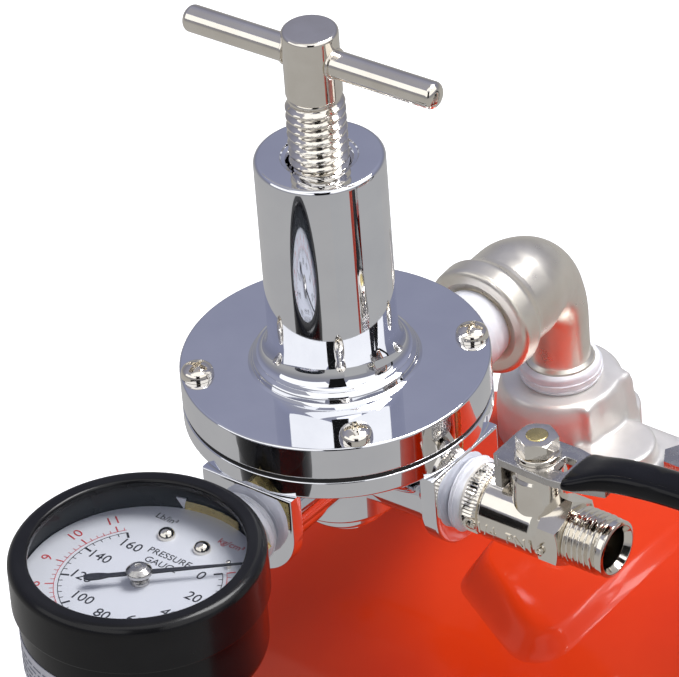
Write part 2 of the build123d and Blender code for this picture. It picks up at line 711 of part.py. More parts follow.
def carry_handle():
    """Bent tube that rises behind the pump and leans over it."""
    foot_y = TANK_Y + 50
    grip_y = TANK_Y + 12
    path = FilletPolyline(
        (128, foot_y, PLATE_TOP), (128, foot_y, 50), (128, grip_y, 92),
        (312, grip_y, 92), (312, foot_y, 50), (312, foot_y, PLATE_TOP), radius=20
    )
    return sweep(Plane(path @ 0, z_dir=path % 0) * Circle(5), path=path)


PIECES = {
    "tank_shell": tank_shell, "tank_feet": tank_feet, "rubber_feet": rubber_feet,
    "crest_pad": crest_pad, "pump_plate": pump_plate, "manifold": manifold,
    "inlet_elbow": inlet_elbow, "pipe_nipple": pipe_nipple,
    "thread_tapes": thread_tapes, "regulator_body": regulator_body, "diaphragm": diaphragm,
    "diaphragm_plate": diaphragm_plate, "bonnet": bonnet, "flange_screws": flange_screws,
    "bottom_cap": bottom_cap, "port_plug": port_plug, "adjusting_screw": adjusting_screw,
    "tee_bar": tee_bar, "spring_button": spring_button, "main_spring": main_spring,
    "poppet": poppet, "poppet_spring": poppet_spring, "gauge_case": gauge_case,
    "gauge_bezel": gauge_bezel, "gauge_lens": gauge_lens, "gauge_dial": gauge_dial,
    "gauge_socket": gauge_socket, "bourdon_tube": bourdon_tube, "dial_screws": dial_screws,
    "gauge_pointer": gauge_pointer, "valve_body": valve_body, "valve_outlet": valve_outlet,
    "valve_ball": valve_ball, "valve_seats": valve_seats, "valve_stem": valve_stem,
    "stem_nut": stem_nut, "valve_lever": valve_lever, "lever_grip": lever_grip,
    "drain_body": drain_body, "drain_tap": drain_tap, "safety_valve": safety_valve,
    "safety_ring": safety_ring, "rubber_mounts": rubber_mounts, "crankcase": crankcase,
    "cylinder": cylinder, "cylinder_head": cylinder_head, "hex_bolts": hex_bolts,
    "piston": piston, "motor_rotor": motor_rotor, "crank": crank, "cooling_fan": cooling_fan,
    "motor_casing": motor_casing, "end_cover": end_cover, "stator": stator,
    "motor_bearings": motor_bearings, "intake_filter": intake_filter,
    "delivery_tube": delivery_tube, "pressure_switch": pressure_switch,
    "switch_knob": switch_knob, "carry_handle": carry_handle,
}


def save(name, shape):
    """Move a piece to the part's origin and write it."""
    solids = shape if isinstance(shape, list) else [shape]
    placed = [ORIGIN * solid for solid in solids]
    whole = placed[0] if len(placed) == 1 else Compound(children=placed)
    export_step(whole, f"parts/{name}.step")


os.makedirs("parts", exist_ok=True)
for piece_name, build_piece in PIECES.items():
    save(piece_name, build_piece())
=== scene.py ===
import json
from math import atan2, copysign, cos, degrees, exp, log, pi, radians, sin, sqrt, tan

import bmesh
import bpy
from mathutils import Matrix, Vector, noise


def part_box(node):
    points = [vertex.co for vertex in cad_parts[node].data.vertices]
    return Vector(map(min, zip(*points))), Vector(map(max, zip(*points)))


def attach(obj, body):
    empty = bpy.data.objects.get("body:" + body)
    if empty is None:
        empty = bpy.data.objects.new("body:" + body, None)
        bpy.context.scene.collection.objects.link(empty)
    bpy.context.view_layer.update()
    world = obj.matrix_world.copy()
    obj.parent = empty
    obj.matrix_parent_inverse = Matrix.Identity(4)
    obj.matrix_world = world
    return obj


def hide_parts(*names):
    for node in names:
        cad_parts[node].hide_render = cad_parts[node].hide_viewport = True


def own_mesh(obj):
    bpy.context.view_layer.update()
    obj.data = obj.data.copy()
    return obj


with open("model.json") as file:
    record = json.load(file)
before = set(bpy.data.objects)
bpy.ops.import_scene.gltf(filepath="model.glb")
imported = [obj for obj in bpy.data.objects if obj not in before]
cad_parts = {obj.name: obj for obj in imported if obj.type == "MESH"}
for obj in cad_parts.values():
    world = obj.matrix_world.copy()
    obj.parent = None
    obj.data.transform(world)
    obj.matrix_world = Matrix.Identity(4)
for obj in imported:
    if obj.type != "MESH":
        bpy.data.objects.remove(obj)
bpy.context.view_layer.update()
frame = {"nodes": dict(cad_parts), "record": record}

# Looks of an airbrush compressor. Shapes are written in millimetres from the regulator's axis on top
# of its flange, as the design is, and put() moves them into the frame.

MM = 0.001
BONNET_TOP = 52.8
bonnet_low, bonnet_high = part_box("bonnet")
DATUM = Vector((
    (bonnet_low.x + bonnet_high.x) / 2,
    (bonnet_low.y + bonnet_high.y) / 2,
    bonnet_high.z - BONNET_TOP * MM,
))
SLOT_OF = {entry["node"]: entry["material_slot"] for entry in frame["record"]["subparts"]}


def turn(angle, axis):
    return Matrix.Rotation(radians(angle), 4, axis)


def shift(x=0.0, y=0.0, z=0.0):
    return Matrix.Translation((x, y, z))


PORT_Z = -23.5


def port(angle):
    """Place whose z axis runs outward along a regulator port."""
    return shift(z=PORT_Z) @ turn(angle, "Z") @ turn(90, "Y")


# ---- mesh builders: each returns (vertices, faces) ----
def rounded(outline, steps=5):
    """Outline of (a, b, radius) corners with each corner turned into an arc."""
    points = []
    count = len(outline)
    for number in range(count):
        here = Vector(outline[number][:2])
        radius = outline[number][2] if len(outline[number]) > 2 else 0.0
        before = Vector(outline[number - 1][:2]) - here
        after = Vector(outline[(number + 1) % count][:2]) - here
        half = before.angle(after, 0.0) / 2
        if radius <= 0 or half < 0.01 or half > 1.56:
            points.append((here.x, here.y))
            continue
        reach = min(radius / tan(half), before.length * 0.49, after.length * 0.49)
        radius = reach * tan(half)
        bisector = (before.normalized() + after.normalized()).normalized()
        centre = here + bisector * (radius / sin(half))
        start = here + before.normalized() * reach - centre
        end = here + after.normalized() * reach - centre
        sweep_angle = start.angle_signed(end)
        for step in range(steps + 1):
            arm = start.copy()
            arm.rotate(Matrix.Rotation(-sweep_angle * step / steps, 2))
            points.append((centre.x + arm.x, centre.y + arm.y))
    return points


def ring(radius, height, steps):
    """Even points round the z axis."""
    return [(radius * cos(2 * pi * s / steps), radius * sin(2 * pi * s / steps), height)
            for s in range(steps)]


def lathe(outline, place=Matrix.Identity(4), steps=96, closed=True):
    """Turned solid from (radius, height) corners. Corners on the axis become poles."""
    rings = []
    vertices = []
    for radius, height in outline:
        if radius < 1e-6:
            rings.append([len(vertices)] * steps)
            vertices.append(Vector((0, 0, height)))
            continue
        rings.append(list(range(len(vertices), len(vertices) + steps)))
        for step in range(steps):
            angle = 2 * pi * step / steps
            vertices.append(Vector((radius * cos(angle), radius * sin(angle), height)))
    faces = []
    pairs = list(zip(rings, rings[1:]))
    if closed and rings[0][0] != rings[-1][0] and outline[0][0] > 1e-6:
        pairs.append((rings[-1], rings[0]))
    for lower, upper in pairs:
        for step in range(steps):
            after = (step + 1) % steps
            loop = [lower[step], lower[after], upper[after], upper[step]]
            face = [v for spot, v in enumerate(loop) if v not in loop[:spot]]
            if len(face) > 2:
                faces.append(face)
    return [place @ v for v in vertices], faces


def grid(rows, place=Matrix.Identity(4), around=False, caps=False):
    """Surface through equal rows of points."""
    width = len(rows[0])
    vertices = [place @ Vector(point) for row in rows for point in row]
    faces = []
    for row in range(len(rows) - 1):
        for column in range(width if around else width - 1):
            after = (column + 1) % width
            faces.append([
                row * width + column, row * width + after,
                (row + 1) * width + after, (row + 1) * width + column,
            ])
    if caps:
        faces.append(list(range(width))[::-1])
        faces.append([(len(rows) - 1) * width + column for column in range(width)])
    return vertices, faces


def pipe(points, radii, steps):
    """Tube along points with a radius for each, carried along without twist."""
    points = [Vector(point) for point in points]
    rows = []
    side = None
    for number, point in enumerate(points):
        ahead = points[min(number + 1, len(points) - 1)] - points[max(number - 1, 0)]
        ahead.normalize()
        if side is None:
            side = ahead.orthogonal().normalized()
        side = (side - ahead * side.dot(ahead)).normalized()
        other = ahead.cross(side)
        rows.append([
            point + (side * cos(2 * pi * s / steps) + other * sin(2 * pi * s / steps)) * radii[number]
            for s in range(steps)
        ])
    return grid(rows, around=True, caps=True)


def bent(corners, radius, spacing):
    """Points along straight runs joined by arcs."""
    corners = [Vector(corner) for corner in corners]
    points = [corners[0]]
    for before, here, after in zip(corners, corners[1:], corners[2:]):
        back = (before - here).normalized()
        forward = (after - here).normalized()
        half = back.angle(forward) / 2
        reach = radius / tan(half)
        centre = here + (back + forward).normalized() * (radius / sin(half))
        start = here + back * reach - centre
        axis = start.cross(here + forward * reach - centre).normalized()
        total = pi - 2 * half
        count = max(4, int(total * radius / spacing))
        for step in range(count + 1):
            points.append(centre + Matrix.Rotation(total * step / count, 3, axis) @ start)
    points.append(corners[-1])
    return points


# Shares of a thread's pitch: flat crest, flat root, and each slope between them.
CREST = 0.18
ROOT = 0.1
FLANK = (1 - CREST - ROOT) / 2
PEAK = ROOT + FLANK + CREST / 2
SLICES_PER_TURN = 14


def thread(outer, depth, pitch, low, high, place=Matrix.Identity(4), fade=0.8, bore=0.0):
    """Helical thread as one skin. The ridge fades out over part of a turn at both ends."""
    steps = 96
    rows = []
    slices = int((high - low) / pitch * SLICES_PER_TURN)
    for slice_number in range(slices + 1):
        height = low + (high - low) * slice_number / slices
        row = []
        for step in range(steps):
            angle = 2 * pi * step / steps
            phase = (height / pitch - step / steps) % 1.0
            level = max(0.0, min(1.0, (FLANK + CREST / 2 - abs(phase - PEAK)) / FLANK))
            ease = min(1.0, (height - low) / (fade * pitch), (high - height) / (fade * pitch))
            radius = outer - depth + depth * level * max(0.0, ease)
            row.append((radius * cos(angle), radius * sin(angle), height))
        rows.append(row)
    if not bore:
        return grid(rows, place, around=True, caps=True)
    rows += [ring(bore, high, steps), ring(bore, low, steps)]
    return grid(rows + rows[:1], place, around=True)


def hexagon(flats, low, high, hole=0.0, place=Matrix.Identity(4)):
    """Nut or hexagon with a turned chamfer on its corners, from fine wedges round the axis."""
    apothem = flats / 2
    chamfer_start = apothem * 0.97
    steps = 72
    wedge = pi / 6
    rows = [[] for _ in range(6)]
    for step in range(steps):
        angle = 2 * pi * step / steps
        reach = apothem / cos((angle + wedge) % (2 * wedge) - wedge)
        drop = (reach - chamfer_start) / 2
        flat = min(chamfer_start, reach)
        profile = ((hole, low), (flat, low), (reach, low + drop),
                   (reach, high - drop), (flat, high), (hole, high))
        for row, (radius, height) in zip(rows, profile):
            row.append((radius * cos(angle), radius * sin(angle), height))
    if hole > 0:
        rows.append(rows[0])
    return grid(rows, place, around=True)


def curve_chunk(curve, place):
    """Mesh of a curve or text, which is then deleted."""
    holder = bpy.data.objects.new(curve.name, curve)
    made = bpy.data.meshes.new_from_object(holder)
    vertices = [place @ v.co for v in made.vertices]
    faces = [list(face.vertices) for face in made.polygons]
    bpy.data.objects.remove(holder)
    bpy.data.curves.remove(curve)
    bpy.data.meshes.remove(made)
    return vertices, faces


def plate(outline, low, high, holes=(), bevel=0.25, place=Matrix.Identity(4)):
    """Flat part cut to an outline with holes, edges slightly broken."""
    curve = bpy.data.curves.new("plate", "CURVE")
    curve.dimensions = "2D"
    curve.fill_mode = "BOTH"
    curve.extrude = (high - low) / 2 - bevel
    curve.bevel_depth = bevel
    curve.bevel_resolution = 2
    curve.offset = -bevel
    for loop in (outline, *holes):
        spline = curve.splines.new("POLY")
        spline.points.add(len(loop) - 1)
        for point, (x, y) in zip(spline.points, loop):
            point.co = (x, y, 0, 1)
        spline.use_cyclic_u = True
    return curve_chunk(curve, place @ shift(z=(low + high) / 2))


def circle(radius, x=0.0, y=0.0, steps=40):
    return [(x + across, y + along) for across, along, _ in ring(radius, 0, steps)]


def lettering(text, height, place, thick=0.02):
    """Flat lettering centred on its place."""
    curve = bpy.data.curves.new("lettering", "FONT")
    curve.body = text
    curve.size = height / 0.7
    curve.align_x = "CENTER"
    curve.align_y = "CENTER"
    curve.extrude = thick
    curve.resolution_u = 3
    return curve_chunk(curve, place)


# ---- putting a piece into the scene ----
def put(name, chunks, body, slot, replaced=(), sharp=35.0, weighted=True, weld=True):
    """Join chunks into one object that rides on a body and takes its slot's material."""
    vertices = []
    faces = []
    for chunk_vertices, chunk_faces in chunks:
        start = len(vertices)
        vertices += [DATUM + Vector(v) * MM for v in chunk_vertices]
        faces += [[start + index for index in face] for face in chunk_faces]
    mesh = bpy.data.meshes.new(name)
    mesh.from_pydata(vertices, [], faces)
    if weld:
        work = bmesh.new()
        work.from_mesh(mesh)
        bmesh.ops.remove_doubles(work, verts=work.verts, dist=1e-7)
        bmesh.ops.dissolve_degenerate(work, edges=work.edges, dist=1e-8)
        bmesh.ops.recalc_face_normals(work, faces=work.faces)
        work.to_mesh(mesh)
        work.free()
    mesh.update()
    mesh.polygons.foreach_set("use_smooth", [True] * len(mesh.polygons))
    mesh.set_sharp_from_angle(angle=radians(sharp))
    piece = bpy.data.objects.new(name, mesh)
    bpy.context.scene.collection.objects.link(piece)
    if weighted:
        normals = piece.modifiers.new("flat_faces", "WEIGHTED_NORMAL")
        normals.keep_sharp = True
        normals.weight = 80
    piece.data.materials.append(material_for(slot))
    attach(piece, body)
    for node in replaced:
        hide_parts(node)
    return piece


# ---- materials ----
MATERIALS = {}


def new_material(name):
    material = bpy.data.materials.new(name)
    material.use_nodes = True
    return material, material.node_tree, material.node_tree.nodes["Principled BSDF"]


def set_inputs(node, values):
    """Give a shader node's inputs their values, by name."""
    for name, value in values.items():
        node.inputs[name].default_value = value


def add_noise(tree, scale, detail=3.0):
    """Noise in the object's own space, in cycles per metre."""
    place = tree.nodes.new("ShaderNodeTexCoord")
    texture = tree.nodes.new("ShaderNodeTexNoise")
    set_inputs(texture, {"Scale": scale, "Detail": detail})
    tree.links.new(place.outputs["Object"], texture.inputs["Vector"])
    return texture.outputs["Fac"]


def add_range(tree, source, low, high):
    """Spread the middle of a noise value over a range."""
    node = tree.nodes.new("ShaderNodeMapRange")
    set_inputs(node, {"From Min": 0.3, "From Max": 0.7, "To Min": low, "To Max": high})
    tree.links.new(source, node.inputs["Value"])
    return node.outputs["Result"]


def add_mix(tree, factor, first, second):
    """Colour between two by a factor."""
    node = tree.nodes.new("ShaderNodeMix")
    node.data_type = "RGBA"
    set_inputs(node, {"A": (*first, 1), "B": (*second, 1)})
    tree.links.new(factor, node.inputs["Factor"])
    return node.outputs["Result"]


def add_bump(tree, shader, source, height_mm):
    node = tree.nodes.new("ShaderNodeBump")
    set_inputs(node, {"Strength": 1.0, "Distance": height_mm * MM})
    tree.links.new(source, node.inputs["Height"])
    tree.links.new(node.outputs["Normal"], shader.inputs["Normal"])


def surface(name, colours, rough, metallic=0.0, patch=60, bump=None, coat=0.0, coat_rough=0.05,
            specular=0.5):
    """General finish: two-colour mottling, uneven roughness and a fine relief."""
    material, tree, shader = new_material(name)
    mottle = add_noise(tree, patch, 4.0)
    tree.links.new(add_mix(tree, add_range(tree, mottle, 0, 1), *colours), shader.inputs["Base Color"])
    smear = add_noise(tree, patch * 2.3, 5.0)
    tree.links.new(add_range(tree, smear, *rough), shader.inputs["Roughness"])
    set_inputs(shader, {"Metallic": metallic, "Coat Weight": coat, "Coat Roughness": coat_rough,
                        "Specular IOR Level": specular})
    if bump:
        add_bump(tree, shader, add_noise(tree, bump[0]), bump[1])
    return material


def make_chrome():
    return surface("chrome_mirror", ((0.80, 0.81, 0.85), (0.86, 0.87, 0.90)), (0.015, 0.045), 1.0, 90)


def make_nickel():
    return surface("nickel_bright", ((0.80, 0.755, 0.68), (0.87, 0.83, 0.76)), (0.05, 0.13), 1.0, 160,
                   bump=(900, 0.004))


def make_satin_nickel():
    return surface("nickel_satin", ((0.76, 0.715, 0.63), (0.84, 0.80, 0.72)), (0.27, 0.36), 0.88, 120,
                   bump=(700, 0.007))


def make_cast_metal():
    return surface("cast_alloy", ((0.76, 0.735, 0.70), (0.86, 0.835, 0.80)), (0.34, 0.46), 0.62, 110,
                   bump=(1100, 0.03))


def make_steel():
    return surface("steel_plain", ((0.50, 0.485, 0.47), (0.60, 0.585, 0.57)), (0.18, 0.32), 1.0, 200,
                   bump=(1500, 0.006))


def make_brass():
    return surface("brass_turned", ((0.62, 0.50, 0.22), (0.74, 0.62, 0.30)), (0.18, 0.34), 1.0, 220,
                   bump=(1200, 0.008))


def make_copper():
    return surface("copper_drawn", ((0.72, 0.36, 0.22), (0.80, 0.45, 0.30)), (0.2, 0.35), 1.0, 120,
                   bump=(900, 0.01))


def make_red_paint():
    return surface("red_enamel", ((0.72, 0.036, 0.003), (0.79, 0.050, 0.004)), (0.34, 0.46), 0.0, 25,
                   bump=(260, 0.010), coat=0.3, coat_rough=0.09, specular=0.12)


def make_black_paint():
    return surface("black_enamel", ((0.006, 0.006, 0.007), (0.012, 0.012, 0.013)), (0.16, 0.26), 0.0, 80,
                   bump=(500, 0.006), coat=0.08, coat_rough=0.1, specular=0.25)


def make_grip_vinyl():
    return surface("dipped_vinyl", ((0.004, 0.004, 0.005), (0.009, 0.009, 0.011)), (0.10, 0.17), 0.0, 90,
                   bump=(220, 0.012), specular=0.22)


def make_black_plastic():
    return surface("black_moulding", ((0.015, 0.015, 0.016), (0.024, 0.024, 0.025)), (0.38, 0.52), 0.0,
                   70, bump=(1400, 0.02))


def make_red_plastic():
    return surface("red_moulding", ((0.60, 0.02, 0.015), (0.68, 0.03, 0.02)), (0.25, 0.35), 0.0, 70,
                   bump=(700, 0.01))


def make_rubber():
    return surface("black_rubber", ((0.014, 0.014, 0.014), (0.026, 0.025, 0.024)), (0.60, 0.80), 0.0, 90,
                   bump=(900, 0.03))


def make_white_seal():
    return surface("sealing_tape", ((0.80, 0.81, 0.86), (0.93, 0.93, 0.96)), (0.38, 0.55), 0.0, 300,
                   bump=(420, 0.06))


def make_dial_white():
    return surface("dial_enamel", ((0.78, 0.80, 0.86), (0.84, 0.86, 0.91)), (0.42, 0.5), 0.0, 40,
                   bump=(1500, 0.002))


def make_clear_window():
    material, tree, shader = new_material("window_clear")
    set_inputs(shader, {"Base Color": (0.10, 0.12, 0.14, 1), "Alpha": 0.06, "IOR": 1.45})
    smear = add_noise(tree, 150, 4.0)
    tree.links.new(add_range(tree, smear, 0.01, 0.04), shader.inputs["Roughness"])
    return material


def make_ink(name, colour):
    material, tree, shader = new_material(name)
    grain = add_noise(tree, 900, 2.0)
    lighter = tuple(min(1.0, channel * 1.3 + 0.01) for channel in colour)
    tree.links.new(add_mix(tree, add_range(tree, grain, 0, 1), colour, lighter), shader.inputs["Base Color"])
    tree.links.new(add_range(tree, grain, 0.4, 0.55), shader.inputs["Roughness"])
    return material


MAKERS = {
    "chrome": make_chrome, "nickel": make_nickel, "satin_nickel": make_satin_nickel,
    "cast_metal": make_cast_metal, "steel": make_steel, "brass": make_brass, "copper": make_copper,
    "red_paint": make_red_paint, "black_paint": make_black_paint, "grip_vinyl": make_grip_vinyl,
    "black_plastic": make_black_plastic, "red_plastic": make_red_plastic, "rubber": make_rubber,
    "white_seal": make_white_seal, "dial_white": make_dial_white, "clear_window": make_clear_window,
}


def material_for(slot):
    if slot not in MATERIALS:
        MATERIALS[slot] = MAKERS[slot]()
    return MATERIALS[slot]


def paint_cad_nodes():
    """Every CAD node gets its slot's procedural material."""
    for name, node in frame["nodes"].items():
        node.data.materials.clear()
        node.data.materials.append(material_for(SLOT_OF[name]))


# ---- regulator ----
FLANGE_R = 34.0
BONNET_R = 14.2


def build_bonnet():
    """Mirror-plated housing: flange, flared foot, tall barrel and the dished screw opening."""
    foot = [(19.0, 0, 0.1), (18.3, 0.4, 0.3), (18.1, 1.7, 0.8), (17.0, 2.3, 0.4)]
    flare = []
    for step in range(15):
        angle = radians(90 * step / 14)
        flare.append((BONNET_R + 2.8 * (1 - sin(angle)), 2.4 + 6.4 * (1 - cos(angle)), 0))
    outline = rounded(
        [(6.6, 40.0, 0), (11.2, 40.0, 0), (11.2, -3, 0), (18.5, -3, 0), (18.5, -8, 0),
         (FLANGE_R, -8, 0.5), (FLANGE_R, 0, 0.55)] + foot + flare
        + [(BONNET_R, BONNET_TOP, 1.1), (8.5, BONNET_TOP, 0.2), (8.2, BONNET_TOP - 0.5, 0.15),
           (7.4, BONNET_TOP - 0.6, 0.15), (6.9, BONNET_TOP - 1.3, 0), (6.6, BONNET_TOP - 1.7, 0)], 6)
    put("bonnet_shell", [lathe(outline, steps=192)], "frame", "chrome", ["bonnet"])


def build_regulator_body():
    """Lower half: rim, core and four arms, each with a flat U-shaped plate."""
    rim = lathe(rounded([(13, -13.5), (FLANGE_R, -13.5, 0.8), (FLANGE_R, -9, 0.35), (25, -9),
                         (25, -12), (13, -12)]), steps=192)
    core = lathe(rounded([(7, -36), (14, -36, 1.2), (14, -17, 0), (17, -13, 0), (7, -13)]), steps=96)
    chunks = [rim, core]
    for angle in (0, 90, 180, 270):
        place = port(angle)
        chunks.append(lathe(rounded([(6.6, 8), (9.5, 8), (9.5, 27.5), (10.6, 30.5), (6.6, 30.5)]),
                            place, 72))
        outline = [(-10.2, -12), (0, -12)]
        outline += [(12 * sin(radians(a)), -12 * cos(radians(a))) for a in range(6, 180, 6)]
        outline += [(0, 12), (-10.2, 12)]
        chunks.append(plate(outline, 30, 34, [circle(6.6)], 0.6, place))
    put("regulator_core", chunks, "frame", "chrome", ["regulator_body"])


def build_bottom_cap():
    cap = lathe(rounded([(0, -41), (9.6, -41, 1.5), (9.6, -36, 0.4), (0, -36)]), steps=96)
    put("bottom_plug", [cap, hexagon(10, -44, -41)], "frame", "chrome", ["bottom_cap"])


HEAD_R = 3.65
HEAD_HEIGHT = 2.75
SLOT_REACH = 2.35
SCREW_CIRCLE_R = 30.2


def screw_head(x, y, spin):
    """Domed head with a cross recess pressed into it, on a plain shank."""
    steps = 96
    rows = []
    for circle_number in range(31):
        share = circle_number / 30
        edge = max(0.0, (share - 0.86) / 0.14)
        crown = HEAD_HEIGHT * (1 - share**2.6 * 0.52) - 0.9 * (1 - sqrt(max(0.0, 1 - edge * edge)))
        row = []
        for step in range(steps):
            angle = 2 * pi * step / steps
            r = HEAD_R * share
            u = abs(r * cos(angle - spin))
            v = abs(r * sin(angle - spin))
            arm = min(max(u, v) / 2.5, 1.5)
            inside = max(0.0, min(1.0, (0.52 - 0.12 * arm - min(u, v)) / 0.14 + 0.5))
            end = max(0.0, min(1.0, (SLOT_REACH - max(u, v)) / 0.3 + 0.5))
            row.append((r * cos(angle), r * sin(angle), crown - inside * end * (1.5 - 0.35 * arm)))
        rows.append(row)
    rows.append(ring(HEAD_R, 0, steps))
    shank = lathe([(0, -13), (2, -13), (2, 0), (0, 0)], shift(x, y, 0), 24)
    return [grid(rows, shift(x, y, 0.05), around=True), shank]


def build_flange_screws():
    """Four screws on one circle, each left at its own turn."""
    chunks = []
    for number in range(4):
        angle = radians(45 + 90 * number)
        chunks += screw_head(SCREW_CIRCLE_R * cos(angle), SCREW_CIRCLE_R * sin(angle),
                             radians(20 + 37 * number))
    put("flange_screw_set", chunks, "frame", "nickel", ["flange_screws"], sharp=40)


def build_port_plug():
    plug = [lathe([(0, 26), (6.6, 26), (6.6, 34), (0, 34)], port(180), 48),
            hexagon(12, 34, 39, 0, port(180))]
    put("side_plug", plug, "frame", "brass", ["port_plug"])


SCREW_R = 6.5
HUB_LOW = 68.6
HUB_TOP = 84.6
TEE_Z = 77.8
TEE_ANGLE = 2.2
TEE_R = 3.05
TEE_HALF = 32.3


def build_tee_handle():
    """Adjusting screw with a cut thread, plain hub and cross bar."""
    hub = lathe(rounded([(0, HUB_LOW - 0.4), (5.3, HUB_LOW - 0.4, 0.2), (6.15, HUB_LOW + 0.4, 0.2),
                         (6.15, HUB_TOP, 0.85), (0, HUB_TOP)]), steps=96)
    cut = thread(SCREW_R, 1.05, 2.25, 41, HUB_LOW - 0.3)
    tip = lathe(rounded([(0, 40), (4, 40, 0.5), (5.2, 41), (0, 41)]), steps=48)
    put("adjusting_screw_cut", [hub, cut, tip], "tee_handle", "nickel", ["adjusting_screw"])
    place = shift(z=TEE_Z) @ turn(TEE_ANGLE, "Z") @ turn(90, "Y")
    half = []
    for step in range(11):
        angle = radians(90 * step / 10)
        half.append((TEE_R * sin(angle), -TEE_HALF + 1.9 * (1 - cos(angle))))
    other = [(r, -z) for r, z in reversed(half)]
    collar = []
    for side in (-1, 1):
        where = place @ shift(z=side * 5.9)
        collar.append(lathe(rounded([(TEE_R - 0.1, -0.3), (TEE_R + 0.45, -0.3, 0.12),
                                     (TEE_R + 0.45, 0.3, 0.2), (TEE_R - 0.1, 0.3)]), where, 48))
    put("tee_bar_turned", [lathe(half + other, place, 64)] + collar, "tee_handle", "nickel", ["tee_bar"])


def spring_path(radius, low, high, turns, end_rise):
    """Helix whose first and last turns lie nearly flat."""
    points = []
    steps = turns * 36
    for step in range(steps + 1):
        turn_number = turns * step / steps
        inner = max(0.0, min(1.0, (turn_number - 1) / (turns - 2)))
        ends = min(1.0, turn_number) + max(0.0, turn_number - turns + 1)
        height = low + end_rise * ends + (high - low - 2 * end_rise) * inner
        points.append((radius * cos(2 * pi * turn_number), radius * sin(2 * pi * turn_number), height))
    return points


def build_springs():
    """Closed-end coil springs for the adjusting screw and the poppet."""
    for node, joint, radius, wire, low, high, turns, travel in (
            ("main_spring", "adjust_travel", 8.2, 1.2, -6.4, 36.5, 8, 12.0),
            ("poppet_spring", "poppet_lift", 3.2, 0.4, -32.0, -23.0, 7, 1.0)):
        path = spring_path(radius, low + wire, high - wire, turns, 2.1 * wire)
        coil = put(node + "_coil", [pipe(path, [wire] * len(path), 16)], "frame",
                   SLOT_OF[node], [node], weighted=False)
        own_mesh(coil)


# ---- gauge ----
GAUGE_Y = -71.1
BEZEL_R = 27.6
WINDOW_R = 23.2
BEZEL_TOP = -5.5
BEZEL_LOW = -17.5
CASE_R = 26.4
DIAL_R = 26.1
DIAL_Z = -14.75
GAUGE = shift(y=GAUGE_Y)


def build_gauge_shell():
    """Bezel ring with a rounded lip, and the cup behind it."""
    bezel = rounded([(CASE_R, BEZEL_LOW), (BEZEL_R, BEZEL_LOW, 0.5), (BEZEL_R, BEZEL_TOP, 2.2),
                     (WINDOW_R, BEZEL_TOP, 1.3), (WINDOW_R, BEZEL_TOP - 1.8, 0.2),
                     (CASE_R, BEZEL_TOP - 1.8)], 7)
    put("bezel_ring", [lathe(bezel, GAUGE, 192)], "frame", "black_paint", ["gauge_bezel"])
    case = rounded([(0, -34), (CASE_R, -34, 4.5), (CASE_R, DIAL_Z - 0.6, 0.3),
                    (24.9, DIAL_Z - 0.6, 0.3), (24.9, -32, 2), (0, -32)], 7)
    put("case_cup", [lathe(case, GAUGE, 160, closed=False)], "frame", "black_paint", ["gauge_case"])


def on_dial(radius, angle, lift=0.0):
    return (radius * cos(angle), GAUGE_Y + radius * sin(angle), DIAL_Z + lift)


SCALE_START = 41.0
SCALE_SWEEP = 264.0
RED_TOP = 11.25


def scale_angle(share):
    """The scale runs clockwise, from the upper right round to the upper left."""
    return radians(SCALE_START - SCALE_SWEEP * share)


def tick(share, inner, outer, width):
    angle = scale_angle(share)
    side = Vector((-sin(angle), cos(angle), 0)) * (width / 2)
    near = Vector(on_dial(inner, angle, 0.03))
    far = Vector(on_dial(outer, angle, 0.03))
    lower = [near - side, far - side, far + side, near + side]
    return grid([lower, [p + Vector((0, 0, 0.03)) for p in lower]], around=True, caps=True)


def arc_line(radius, width):
    """Thin printed line along the whole scale."""
    steps = 120
    rows = []
    for lift in (0.03, 0.06):
        for offset in (-width / 2, width / 2):
            rows.append([on_dial(radius + offset, scale_angle(s / steps), lift)
                         for s in range(steps + 1)])
    return grid([rows[0], rows[1], rows[3], rows[2], rows[0]])


def number_at(text, share, radius, height, upright=True):
    angle = scale_angle(share)
    spin = 0.0 if upright else degrees(angle) - 90
    return lettering(text, height, shift(*on_dial(radius, angle, 0.05)) @ turn(spin, "Z"))


def build_dial():
    """White disc with a black scale, and a red scale in the other unit round it."""
    dial = lathe(rounded([(0, DIAL_Z - 0.5), (DIAL_R, DIAL_Z - 0.5), (DIAL_R, DIAL_Z), (1.3, DIAL_Z),
                          (0, DIAL_Z)]), GAUGE, 128)
    put("dial_disc", [dial], "frame", "dial_white", ["gauge_dial"])
    black = [arc_line(17.5, 0.16)]
    for number in range(41):
        major = number % 5 == 0
        black.append(tick(number / 40, 15.6 if major else 16.6, 17.5, 0.5 if major else 0.17))
    for number in range(9):
        black.append(number_at(str(20 * number), number / 8, 12.9, 2.65))
    red = [arc_line(18.4, 0.14)]
    for number in range(57):
        major = number % 5 == 0
        red.append(tick(number / (5 * RED_TOP), 18.4, 20.3 if major else 19.3, 0.32 if major else 0.14))
    for number in range(1, 12):
        red.append(number_at(str(number), number / RED_TOP, 22.4, 2.5, upright=False))
    for text, height, x, y in (("PRESSURE", 1.8, 0.2, 9.9), ("GAUGE", 1.8, 0.2, 7.0),
                               ("Lb/in\u00b2", 1.7, -8.4, 20.2)):
        black.append(lettering(text, height, shift(x, GAUGE_Y + y, DIAL_Z + 0.05)))
    red.append(lettering("kg/cm\u00b2", 1.7, shift(8.9, GAUGE_Y + 20.2, DIAL_Z + 0.05)))
    for name, chunks, ink in (("dial_black_print", black, INK_BLACK), ("dial_red_print", red, INK_RED)):
        print_piece = put(name, chunks, "frame", "dial_white", weighted=False, weld=False)
        print_piece.data.materials[0] = ink


POINTER_ANGLE = 40.0


